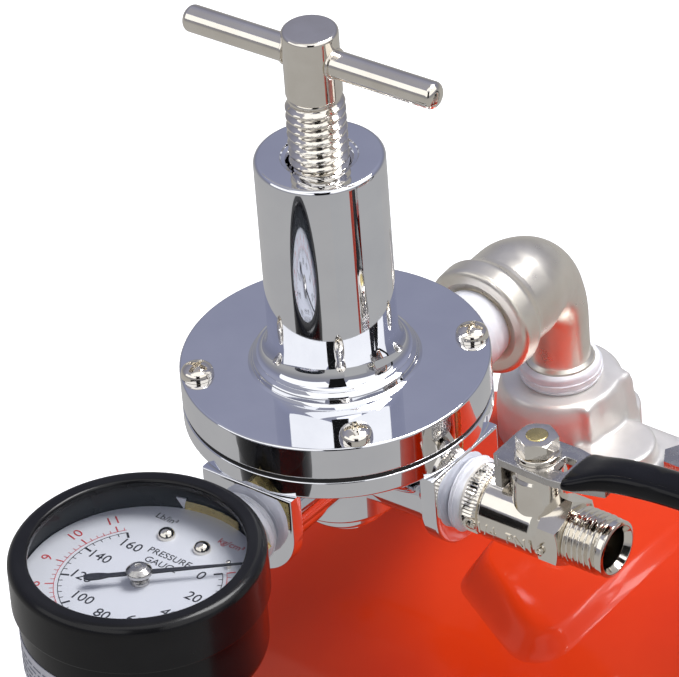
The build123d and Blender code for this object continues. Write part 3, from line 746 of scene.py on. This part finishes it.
def build_pointer():
    """Tapered hand with a broad tail, bright hub and shaft."""
    place = shift(0, GAUGE_Y, DIAL_Z) @ turn(POINTER_ANGLE, "Z")
    side = [(-11.8, 0.25), (-11.2, 0.8), (-10.2, 1.05), (-8.6, 1.0), (-6.5, 0.55), (-2.2, 0.55),
            (2.2, 0.62), (22.0, 0.16)]
    outline = [(x, -y) for x, y in side] + [(x, y) for x, y in reversed(side)]
    hand = plate(outline, 2.3, 2.75, bevel=0.05, place=place)
    arm = put("pointer_hand", [hand], "pointer", "black_paint", ["gauge_pointer"])
    arm.data.materials[0] = INK_BLACK
    cap = lathe(rounded([(0, 2.1), (2.2, 2.1), (2.85, 2.5, 0.2), (2.85, 3.3, 0.5), (1.7, 4.2, 0.8),
                         (0.75, 4.45, 0.15), (0.6, 4.15), (0, 4.1)]), place, 64)
    shaft = lathe(rounded([(0, -0.4), (0.8, -0.4), (0.8, 2.3), (0, 2.3)]), place, 32)
    nut = lathe(rounded([(0, 0.05), (2.1, 0.05, 0.1), (1.8, 1.0, 0.3), (0.9, 1.3, 0.1), (0, 1.3)]), place, 48)
    put("pointer_cap", [cap, shaft, nut], "pointer", "steel")


SCREW_SPOTS = ((-4.9, -55.6), (4.5, -55.4))
STOP_SPOT = (13.0, -57.2)


LABEL_START = 168
LABEL_END = 290


def on_case(radius, angles, height):
    """Points round the gauge's own axis."""
    return [(radius * cos(radians(a)), GAUGE_Y + radius * sin(radians(a)), height) for a in angles]


def build_case_label():
    """Plain white sticker round the gauge case with rows of faint unreadable dashes."""
    rows = []
    for radius, height in ((26.55, -33.0), (26.55, -23.6), (26.35, -23.6), (26.35, -33.0)):
        rows.append(on_case(radius, range(LABEL_START, LABEL_END + 1, 2), height))
    ends = [grid([[row[n] for row in rows[:2]], [row[n] for row in rows[3:1:-1]]]) for n in (0, -1)]
    put("case_label", [grid(rows + rows[:1])] + ends, "frame", "white_seal", weighted=False)
    dashes = []
    for line, height in enumerate((-25.6, -27.0, -28.4, -29.8, -31.2)):
        angle = LABEL_START + 4.0
        while angle < LABEL_END - 6:
            length = 3.0 + 5.0 * abs(sin(7.3 * angle + line * 2.1))
            turns = [angle + length * n / 4 for n in range(5)]
            dashes.append(grid([on_case(26.6, turns, height - 0.22), on_case(26.6, turns, height + 0.22)]))
            angle += length + 1.6
    print_piece = put("label_dashes", dashes, "frame", "white_seal", weighted=False)
    print_piece.data.materials[0] = LABEL_INK


def build_dial_fittings():
    """Dial screws, pointer stop, brass socket seen past the dial, and a loose end of tape."""
    chunks = []
    for x, y in SCREW_SPOTS:
        place = shift(x, y, DIAL_Z)
        dome = [(0, 1.9)] + [(1.95 * sin(radians(a)), 0.3 + 1.6 * cos(radians(a))) for a in range(10, 91, 10)]
        chunks.append(lathe(dome + [(1.95, 0), (0, 0)], place, 48))
    put("dial_screw_pair", chunks, "frame", "nickel", ["dial_screws"])
    x, y = STOP_SPOT
    pin = lathe(rounded([(0, -1), (0.55, -1), (0.55, 1.7, 0.3), (0, 1.7)]), shift(x, y, DIAL_Z), 24)
    put("pointer_stop", [pin], "frame", "nickel")
    rows = []
    for radius, height in ((26.35, -0.1), (26.35, 2.0), (26.0, 2.2), (26.0, -0.1)):
        rows.append([on_dial(radius, radians(a), height) for a in range(74, 107)])
    strip = grid(rows + rows[:1])
    put("socket_strip", [strip], "frame", "brass")
    flap = [[on_dial(radius, radians(a), height) for a, height in ((105, 2.9), (110, 2.9), (106.5, 0.1))]
            for radius in (25.9, 26.3)]
    put("seal_end", [grid(flap, around=True, caps=True)], "frame", "white_seal")


def build_gauge_window():
    pane = lathe(rounded([(0, BEZEL_TOP - 2.6), (WINDOW_R + 1, BEZEL_TOP - 2.6, 0.2),
                          (WINDOW_R + 1, BEZEL_TOP - 1.8, 0.2), (0, BEZEL_TOP - 1.8)]), GAUGE, 96)
    put("window_pane", [pane], "frame", "clear_window", ["gauge_lens"])


# ---- sealing tape ----
def tape_wrap(outer, inner, low, high, place, seed, turns=5, wobble=0.35):
    """Overlapping turns of thin tape, swollen and a little ragged."""
    rows = []
    slices = 40
    for slice_number in range(slices + 1):
        share = slice_number / slices
        row = []
        for step in range(96):
            angle = 2 * pi * step / 96
            spot = Vector((cos(angle) * 2.2 + seed, sin(angle) * 2.2, share * 5))
            ragged = noise.noise(spot) * wobble
            lap = ((share * turns - step / 96) % 1.0) * 0.28
            swell = sin(pi * min(1.0, max(0.0, share))) ** 0.35
            radius = inner + (outer - inner) * swell + (lap + ragged * 0.6) * swell
            height = low + (high - low) * share + ragged * 0.5 * (1 if 0 < share < 1 else 0.6)
            row.append((radius * cos(angle), radius * sin(angle), height))
        rows.append(row)
    inner_low = ring(inner * 0.98, low, 96)
    inner_high = ring(inner * 0.98, high, 96)
    return grid([inner_high, inner_low] + rows + [inner_high], place, around=True)


def build_tapes():
    chunks = [
        tape_wrap(9.0, 8.3, 38, 51.9, port(90), 3.1, 6),
        tape_wrap(8.3, 6.4, 33.9, 38.6, port(-90), 7.7, 3),
        tape_wrap(8.4, 6.4, 33.9, 37.0, port(0), 11.3, 3),
        tape_wrap(9.6, 8.3, -57.0, -51.9, shift(0, ELBOW_Y, 0), 15.9, 3, 0.2),
    ]
    put("thread_tape_wraps", chunks, "frame", "white_seal", ["thread_tapes"], sharp=60)


# ---- elbow and manifold ----
ELBOW_MOUTH_Y = 51.4
ELBOW_Y = 82.2
ELBOW_BEND = 16.0
ELBOW_TAPER = ((0, 12.2), (25, 10.4), (45, 8.4), (65, 7.2), (90, 6.95))
BOSS_TOP = -56.6


def elbow_radius(point):
    """Bulbous mouth half, then a quick taper round the bend into the slim leg."""
    start = ELBOW_Y - ELBOW_BEND
    if point.y <= start:
        return 11.9 + 0.3 * (point.y - 57) / (start - 57)
    drop = (PORT_Z - point.z) / ELBOW_BEND
    if drop >= 1:
        return 7.1
    angle = degrees(atan2(sqrt(1 - (1 - drop) ** 2), 1 - drop))
    for (a0, r0), (a1, r1) in zip(ELBOW_TAPER, ELBOW_TAPER[1:]):
        if angle <= a1:
            share = (angle - a0) / (a1 - a0)
            return r0 + (r1 - r0) * share
    return ELBOW_TAPER[-1][1]


def build_elbow():
    """Reducing street elbow with a heavy bead on its mouth and a male leg."""
    path = bent([(0, 57, PORT_Z), (0, ELBOW_Y, PORT_Z), (0, ELBOW_Y, -51)], ELBOW_BEND, 0.7)
    radii = [elbow_radius(point) for point in path]
    for _ in range(6):
        radii = [radii[0]] + [sum(radii[k - 1:k + 2]) / 3 for k in range(1, len(radii) - 1)] + [radii[-1]]
    body = pipe(path, radii, 96)
    mouth = lathe(rounded([(8.2, ELBOW_MOUTH_Y + 0.9), (10.4, ELBOW_MOUTH_Y, 0.3),
                           (13.5, ELBOW_MOUTH_Y, 1.4), (13.7, ELBOW_MOUTH_Y + 5.2, 2.0),
                           (12.1, ELBOW_MOUTH_Y + 7.6, 1.6), (11.9, ELBOW_MOUTH_Y + 9),
                           (8.2, ELBOW_MOUTH_Y + 9)], 6), port(90), 128)
    leg = lathe(rounded([(6, -63), (8.2, -63, 0.5), (8.2, -52.5), (7.9, -51.6, 0.3), (7.0, -50.8, 0.3),
                         (6, -50.5)]), shift(0, ELBOW_Y, 0), 72)
    put("elbow_casting", [body, mouth, leg], "frame", "satin_nickel", ["inlet_elbow"], sharp=50)


TANK_R = 95.0
TANK_Y = 49.4
TANK_Z = -164.7


def tank_height(y):
    """Height of the tank's skin above a line across it."""
    return TANK_Z + sqrt(max(0.0, TANK_R**2 - (y - TANK_Y) ** 2))


def remeshed(name, chunks, voxel, smooth, body, slot, replaced):
    """Fuse chunks into one casting with soft inside corners."""
    piece = put(name, chunks, body, slot, replaced, weighted=False, weld=False)
    fuse = piece.modifiers.new("fuse", "REMESH")
    fuse.mode = "VOXEL"
    fuse.voxel_size = voxel * MM
    fuse.use_smooth_shade = True
    soften = piece.modifiers.new("soften", "SMOOTH")
    soften.factor = 0.5
    soften.iterations = smooth
    bpy.context.view_layer.update()
    made = bpy.data.meshes.new_from_object(piece.evaluated_get(bpy.context.evaluated_depsgraph_get()))
    piece.modifiers.clear()
    piece.data = made
    made.polygons.foreach_set("use_smooth", [True] * len(made.polygons))
    return piece


def slab(outline, low, high):
    """Upright block over an outline."""
    return grid([[(x, y, z) for x, y in outline] for z in (low, high)], around=True, caps=True)


def build_manifold():
    """Cast outlet block: round boss with a square shoulder, front lobe, long arm and back lug."""
    boss = lathe([(0, -96), (14.9, -96), (15.2, -76), (15.4, -65), (14.9, -60.5), (14.2, -57.6),
                  (13.4, BOSS_TOP), (8.5, BOSS_TOP), (8.5, -60), (0, -60)], shift(0, ELBOW_Y, 0), 72)
    shoulder = grid([
        [(0, 70.5, -90), (17.4, 71.5, -90), (17.4, 94, -90), (0, 95, -90)],
        [(0, 72.5, -57.0), (13.4, 73.5, -57.0), (13.4, 91.5, -57.0), (0, 92.5, -57.0)],
    ], around=True, caps=True)
    front = grid([
        [(-10, 72, -90), (8, 66, -90), (26, 68, -90), (26, 84, -90), (-10, 84, -90)],
        [(-6, 76, -60), (4, 73.5, -61), (13, 74, -62), (13, 84, -62), (-6, 84, -60)],
    ], around=True, caps=True)
    lobe = slab(circle(9.5, 18, 77.5, 32), -95, -66.3)
    arm = slab(rounded([(13, 70, 5), (45, 70, 7), (45, 91, 7), (13, 91, 3)]), -95, -70)
    lug = slab(circle(9, -2, 101, 32), -108, -78)
    remeshed("manifold_casting", [boss, shoulder, front, lobe, arm, lug], 0.62, 5, "frame", "cast_metal",
             ["manifold"])


# ---- tank ----
TANK_LEFT = -70.0
TANK_RIGHT = 365.0
CROWN_R = 150.0
KNUCKLE_R = 24.0


def build_tank():
    """Rolled shell with dished ends."""
    reach = sqrt((CROWN_R - KNUCKLE_R) ** 2 - (TANK_R - KNUCKLE_R) ** 2)
    shoulder = TANK_LEFT + CROWN_R - reach
    touch = atan2(TANK_R - KNUCKLE_R, reach)
    half = []
    for step in range(25):
        angle = touch * step / 24
        half.append((CROWN_R * sin(angle), TANK_LEFT + CROWN_R * (1 - cos(angle))))
    for step in range(1, 17):
        angle = touch + (pi / 2 - touch) * step / 16
        half.append((TANK_R - KNUCKLE_R + KNUCKLE_R * sin(angle), shoulder - KNUCKLE_R * cos(angle)))
    middle = (TANK_LEFT + TANK_RIGHT) / 2
    other = [(r, 2 * middle - z) for r, z in reversed(half)]
    place = shift(y=TANK_Y, z=TANK_Z) @ turn(90, "Y")
    put("tank_skin", [lathe(half + other, place, 256)], "frame", "red_paint", ["tank_shell"])


PAD_EDGES = (
    ((13.5, 74), (12.5, 22), 4.0), ((12.5, 22), (37, 10.2), 8.5), ((37, 10.2), (45.5, 14.5), 7.0),
    ((45.5, 14.5), (50, 38), 6.0), ((50, 38), (50, 74), 6.0),
)


def pad_rise(x, y):
    """Pressed pad's height share at a point: each edge has its own slope width, corners run soft."""
    total = 0.0
    for (x0, y0), (x1, y1), width in PAD_EDGES:
        length = sqrt((x1 - x0) ** 2 + (y1 - y0) ** 2)
        inside = ((x1 - x0) * (y - y0) - (y1 - y0) * (x - x0)) / length
        total += exp(-(inside + 0.8) / width * 4.2)
    share = max(0.0, min(1.0, -log(total) / 4.2 + 0.06))
    return share * share * (3 - 2 * share)


def build_crest_pad():
    """Low pressed pad on the crest: slanted round front end, softer long sides."""
    rows = []
    for row_number in range(124):
        y = 7 + row_number * 0.55
        row = []
        for column in range(88):
            x = 9 + column * 0.5
            across = max(0.0, min(1.0, (x - 14) / 34))
            lift = (5.4 - 2.9 * across) * pad_rise(x, y)
            row.append((x, y, tank_height(y) + lift - 0.2))
        rows.append(row)
    edge = rows[0] + [row[-1] for row in rows[1:]] + rows[-1][-2::-1] + [row[0] for row in rows[-2:0:-1]]
    low_edge = [(x, y, z - 2) for x, y, z in edge]
    floor_face = ([Vector(point) for point in low_edge], [list(range(len(low_edge)))[::-1]])
    put("crest_pad_skin", [grid(rows), grid([edge, low_edge], around=True), floor_face], "frame",
        "red_paint", ["crest_pad"], sharp=80, weighted=False)


# ---- ball valve ----
VALVE_X = 53.4
LEVER_Z = -7.5


KNURL_TEETH = 56
KNURL_DEPTH = 0.3


def knurled(radius, low, high, place):
    """Ring with straight ridges that fade towards both edges."""
    rows = []
    slices = 10
    steps = KNURL_TEETH * 4
    for slice_number in range(slices + 1):
        share = slice_number / slices
        height = low + (high - low) * share
        ease = min(1.0, share * 4, (1 - share) * 4)
        row = []
        for step in range(steps):
            ridge = abs(step / 4 % 1.0 - 0.5) * 2
            r = radius - 0.5 * (1 - ease) - KNURL_DEPTH * ridge * ease
            angle = 2 * pi * step / steps
            row.append((r * cos(angle), r * sin(angle), height))
        rows.append(row)
    return grid(rows, place, around=True, caps=True)


def build_valve_body():
    """Tail, knurled end, round waist with raised marks, and the stem's neck."""
    place = port(0)
    tail = lathe([(0, 26), (6.5, 26), (6.5, 38), (0, 38)], place, 64)
    grip_ring = knurled(7.9, 36.6, 41.0, place)
    waist = lathe(rounded([(3.6, 40.6), (7.0, 40.6), (7.2, 41.2, 0.2), (8.0, 42.2, 0.6), (8.0, 55.2, 0.8),
                           (7.2, 56.2, 0.4), (6.9, 57), (3.6, 57)]), place, 96)
    neck = lathe(rounded([(2.6, PORT_Z), (6.1, PORT_Z), (6.1, -10.2, 0.3), (5.6, -9.4, 0.3),
                          (5.6, LEVER_Z - 0.3), (2.6, LEVER_Z - 0.3)]), shift(VALVE_X, 0, 0), 72)
    marks = []
    vertices, faces = lettering("G1/4  PN16", 3.0, Matrix.Identity(4), 0.3)
    for along, up, out in vertices:
        angle = up / 8.0 + radians(80)
        radius = 7.95 + out
        marks.append(place @ Vector((radius * cos(angle), -radius * sin(angle), 48.6 + along)))
    put("valve_casting", [tail, grip_ring, waist, neck], "frame", "nickel", ["valve_body"])
    put("valve_marks", [(marks, faces)], "frame", "nickel", weighted=False)


def build_valve_outlet():
    place = port(0)
    nut = hexagon(14.4, 56.7, 62.5, 3.6, place @ turn(30, "Z"))
    cut = thread(6.75, 0.9, 1.45, 62.5, 71.3, place, fade=0.4, bore=5.2)
    end = lathe(rounded([(4.7, 60), (5.7, 60), (5.8, 70.8), (6.5, 71.4, 0.3), (6.5, 72.9, 0.4),
                         (5.6, 73.2, 0.2), (4.7, 71.6, 0.2), (4.7, 66), (3.8, 60)]), place, 96)
    put("outlet_fitting", [nut, cut, end], "frame", "nickel", ["valve_outlet"])


def build_lever():
    """Steel lever with its stop tab, slot, nut, washer and stem end."""
    top = LEVER_Z + 1.9
    x0 = VALVE_X - 7.4
    outline = rounded([(x0, -6, 1.5), (60, -6.4, 8), (66, -5.4, 3), (73, -3.4, 0), (73, 3.4, 0),
                       (66, 5.4, 3), (60, 6.4, 8), (x0, 6, 1.5)], 5)
    slot = rounded([(58.9, -2.3, 0.5), (62.0, -2.3, 0.5), (62.0, 2.3, 0.5), (58.9, 2.3, 0.5)], 3)
    blade = plate(outline, LEVER_Z, top, [circle(2.55, VALVE_X, 0), slot], 0.2)
    tab_place = shift(VALVE_X - 7.5, 0, 0) @ turn(90, "Y")
    tab = plate(rounded([(-top + 0.1, -4.8), (-LEVER_Z + 7.4, -4.8, 1.0), (-LEVER_Z + 7.4, 4.8, 1.0),
                         (-top + 0.1, 4.8)], 4), -0.9, 0.9, (), 0.2, tab_place)
    put("lever_blade", [blade, tab], "lever", "steel", ["valve_lever"])
    middle = shift(VALVE_X, 0, 0)
    nut = hexagon(8.2, -4.4, -0.5, 2.45, middle)
    washer = lathe(rounded([(2.5, top), (5.2, top, 0.2), (5.0, -4.4, 0.25), (2.5, -4.4)]), middle, 64)
    put("stem_nut_washer", [nut, washer], "lever", "nickel", ["stem_nut"])
    stem = lathe(rounded([(0, -18), (2.45, -18), (2.45, -0.35, 0.35), (0, -0.25)]), middle, 48)
    put("stem_end", [stem], "lever", "brass", ["valve_stem"])


def squarish(value):
    """Push a sine or cosine outward, which turns a circle into a rounded square."""
    return copysign(abs(value) ** 0.72, value)


def build_grip():
    """Dipped sleeve: flat at the root, fuller and level further out."""
    middle = LEVER_Z + 0.95
    stations = (
        (62.7, middle, 5.6, 1.3), (63.4, middle + 0.1, 6.4, 1.8), (65.5, middle + 0.5, 6.3, 2.1),
        (68.5, middle + 1.6, 5.3, 2.4), (72.0, middle + 2.9, 4.7, 2.7), (78.0, middle + 4.3, 4.4, 2.9),
        (88.0, middle + 5.6, 4.3, 2.9), (104.0, middle + 6.4, 4.3, 2.8), (113.0, middle + 6.6, 4.2, 2.7),
        (116.6, middle + 6.6, 3.4, 2.2), (117.9, middle + 6.6, 1.6, 1.1),
    )
    rows = []
    for x, z, half_width, half_height in stations:
        row = []
        for step in range(48):
            angle = 2 * pi * step / 48
            row.append((x, half_width * squarish(cos(angle)), z + half_height * squarish(sin(angle))))
        rows.append(row)
    sleeve = put("grip_sleeve", [grid(rows, around=True, caps=True)], "lever", "grip_vinyl",
                 ["lever_grip"], sharp=80, weighted=False)
    soft = sleeve.modifiers.new("round", "SUBSURF")
    soft.levels = 2
    soft.render_levels = 2


# ---- stage, light and camera ----
VIEW_AZIMUTH = 39.0
VIEW_ELEVATION = 35.99
VIEW_ROLL = -4.5
VIEW_DISTANCE = 1295.0
VIEW_ASIDE = 0.96
VIEW_RAISED = 3.63
LENS = 316.2
SENSOR = 36.0


def camera_axes():
    az, el, roll = radians(VIEW_AZIMUTH), radians(VIEW_ELEVATION), radians(VIEW_ROLL)
    forward = Vector((-sin(az) * cos(el), cos(az) * cos(el), -sin(el)))
    level = Vector((cos(az), sin(az), 0))
    raised = level.cross(forward)
    right = cos(roll) * level + sin(roll) * raised
    up = -sin(roll) * level + cos(roll) * raised
    return forward, right, up


def build_camera():
    """Long lens, aimed a little to one side of the regulator and rolled."""
    forward, right, up = camera_axes()
    spot = -forward * VIEW_DISTANCE + right * VIEW_ASIDE + up * VIEW_RAISED
    data = bpy.data.cameras.new("camera")
    data.sensor_width = SENSOR
    data.lens = LENS
    data.clip_start = 0.05
    data.clip_end = 20
    camera = bpy.data.objects.new("camera", data)
    axes = Matrix((right, up, -forward)).transposed().to_4x4()
    camera.matrix_world = Matrix.Translation(DATUM + spot * MM) @ axes
    bpy.context.scene.collection.objects.link(camera)
    bpy.context.scene.camera = camera
    bpy.context.scene.view_settings.view_transform = "Standard"


def side_vector(azimuth, elevation):
    """Direction from the regulator, with azimuth measured from the camera's own side."""
    az = radians(VIEW_AZIMUTH - 90 + azimuth)
    el = radians(elevation)
    return Vector((cos(az) * cos(el), sin(az) * cos(el), sin(el)))


def softbox(name, azimuth, elevation, distance, size, power):
    """Rectangular white light that faces the regulator."""
    data = bpy.data.lights.new(name, "AREA")
    data.shape = "RECTANGLE"
    data.size, data.size_y = size
    data.energy = power
    lamp = bpy.data.objects.new(name, data)
    outward = side_vector(azimuth, elevation)
    lamp.location = DATUM + outward * distance
    lamp.rotation_euler = outward.to_track_quat("Z", "Y").to_euler()
    bpy.context.scene.collection.objects.link(lamp)


def reflector(name, vertices, faces, glow):
    """Evenly glowing card that only reflections see."""
    mesh = bpy.data.meshes.new(name)
    mesh.from_pydata(vertices, [], faces)
    material, _, shader = new_material(name)
    set_inputs(shader, {"Base Color": (0, 0, 0, 1), "Specular IOR Level": 0.0,
                        "Emission Color": (1, 1, 1, 1), "Emission Strength": glow})
    mesh.materials.append(material)
    board = bpy.data.objects.new(name, mesh)
    board.visible_camera = False
    board.visible_shadow = False
    board.visible_diffuse = False
    bpy.context.scene.collection.objects.link(board)
    return board


def card(name, azimuth, elevation, distance, size, glow):
    """Flat reflector to one side of the object."""
    width, height = size[0] / 2, size[1] / 2
    corners = [(-width, -height, 0), (width, -height, 0), (width, height, 0), (-width, height, 0)]
    board = reflector(name, corners, [(0, 1, 2, 3)], glow)
    outward = side_vector(azimuth, elevation)
    board.location = DATUM + outward * distance
    board.rotation_euler = outward.to_track_quat("Z", "Y").to_euler()


def ring_card(name, radius, low, high, span, glow):
    """Low curved reflector around the regulator, between its barrel and the tank."""
    vertices = []
    steps = 40
    for step in range(steps + 1):
        angle = radians(span[0] + (span[1] - span[0]) * step / steps)
        for height in (low, high):
            vertices.append(Vector((radius * cos(angle), radius * sin(angle), height)) * MM)
    faces = [(2 * n, 2 * n + 2, 2 * n + 3, 2 * n + 1) for n in range(steps)]
    reflector(name, vertices, faces, glow).location = DATUM


SKY = (
    (0.0, (0.46, 0.455, 0.45)), (0.42, (0.44, 0.435, 0.43)), (0.52, (0.30, 0.30, 0.32)),
    (0.70, (0.24, 0.25, 0.33)), (0.84, (0.33, 0.345, 0.46)), (1.0, (0.42, 0.42, 0.45)),
)
FLOOR_REACH = 6.0


def build_floor():
    """Pale floor that only the camera sees, so that it tints nothing."""
    corners = [(x * FLOOR_REACH, y * FLOOR_REACH, 0) for x, y in ((-1, -1), (1, -1), (1, 1), (-1, 1))]
    mesh = bpy.data.meshes.new("floor")
    mesh.from_pydata(corners, [], [(0, 1, 2, 3)])
    material, _, shader = new_material("floor_white")
    set_inputs(shader, {"Base Color": (0.9, 0.9, 0.9, 1), "Roughness": 0.9,
                        "Emission Color": (1, 1, 1, 1), "Emission Strength": 0.75})
    mesh.materials.append(material)
    ground = bpy.data.objects.new("floor", mesh)
    ground.location.z = -0.0005
    ground.visible_glossy = False
    ground.visible_diffuse = False
    bpy.context.scene.collection.objects.link(ground)


def build_sky():
    """Grey surroundings, warm below and bluish above, by the height of the direction."""
    world = bpy.data.worlds.new("studio")
    bpy.context.scene.world = world
    world.use_nodes = True
    tree = world.node_tree
    back = tree.nodes["Background"]
    place = tree.nodes.new("ShaderNodeTexCoord")
    split = tree.nodes.new("ShaderNodeSeparateXYZ")
    tree.links.new(place.outputs["Generated"], split.inputs["Vector"])
    ramp = tree.nodes.new("ShaderNodeValToRGB")
    span = tree.nodes.new("ShaderNodeMapRange")
    set_inputs(span, {"From Min": -1, "From Max": 1})
    tree.links.new(split.outputs["Z"], span.inputs["Value"])
    tree.links.new(span.outputs["Result"], ramp.inputs["Fac"])
    elements = ramp.color_ramp.elements
    for number, (position, colour) in enumerate(SKY):
        element = elements[number] if number < 2 else elements.new(position)
        element.position = position
        element.color = (*colour, 1)
    tree.links.new(ramp.outputs["Color"], back.inputs["Color"])
    back.inputs["Strength"].default_value = 1.0


def build_lights():
    """Two soft lights, and the cards that shape the reflections."""
    softbox("key", 100, 62, 1.2, (0.6, 0.6), 14)
    softbox("fill", 20, 50, 1.5, (0.8, 0.6), 1.6)
    card("box_left", -54, 36, 1.3, (1.9, 0.8), 1.25)
    card("box_right", 54, 36, 1.3, (1.9, 0.8), 1.25)
    card("overhead", 10, 78, 1.3, (1.7, 0.62), 1.3)
    card("camera_gap", 0, 30, 1.0, (0.40, 0.9), 0.01)
    ring_card("side_wall", 78.0, -33.5, 8.0, (7, 62), 0.44)
    ring_card("front_wall", 78.0, -33.5, 8.0, (-40, -8), 0.44)


INK_BLACK = make_ink("ink_black", (0.012, 0.012, 0.02))
INK_RED = make_ink("ink_red", (0.55, 0.05, 0.06))
LABEL_INK = make_ink("label_ink", (0.22, 0.24, 0.30))

paint_cad_nodes()
build_bonnet()
build_regulator_body()
build_bottom_cap()
build_flange_screws()
build_port_plug()
build_tee_handle()
build_springs()
build_gauge_shell()
build_dial()
build_pointer()
build_dial_fittings()
build_case_label()
build_gauge_window()
build_tapes()
build_elbow()
build_manifold()
build_tank()
build_crest_pad()
build_valve_body()
build_valve_outlet()
build_lever()
build_grip()
build_camera()
build_floor()
build_sky()
build_lights()
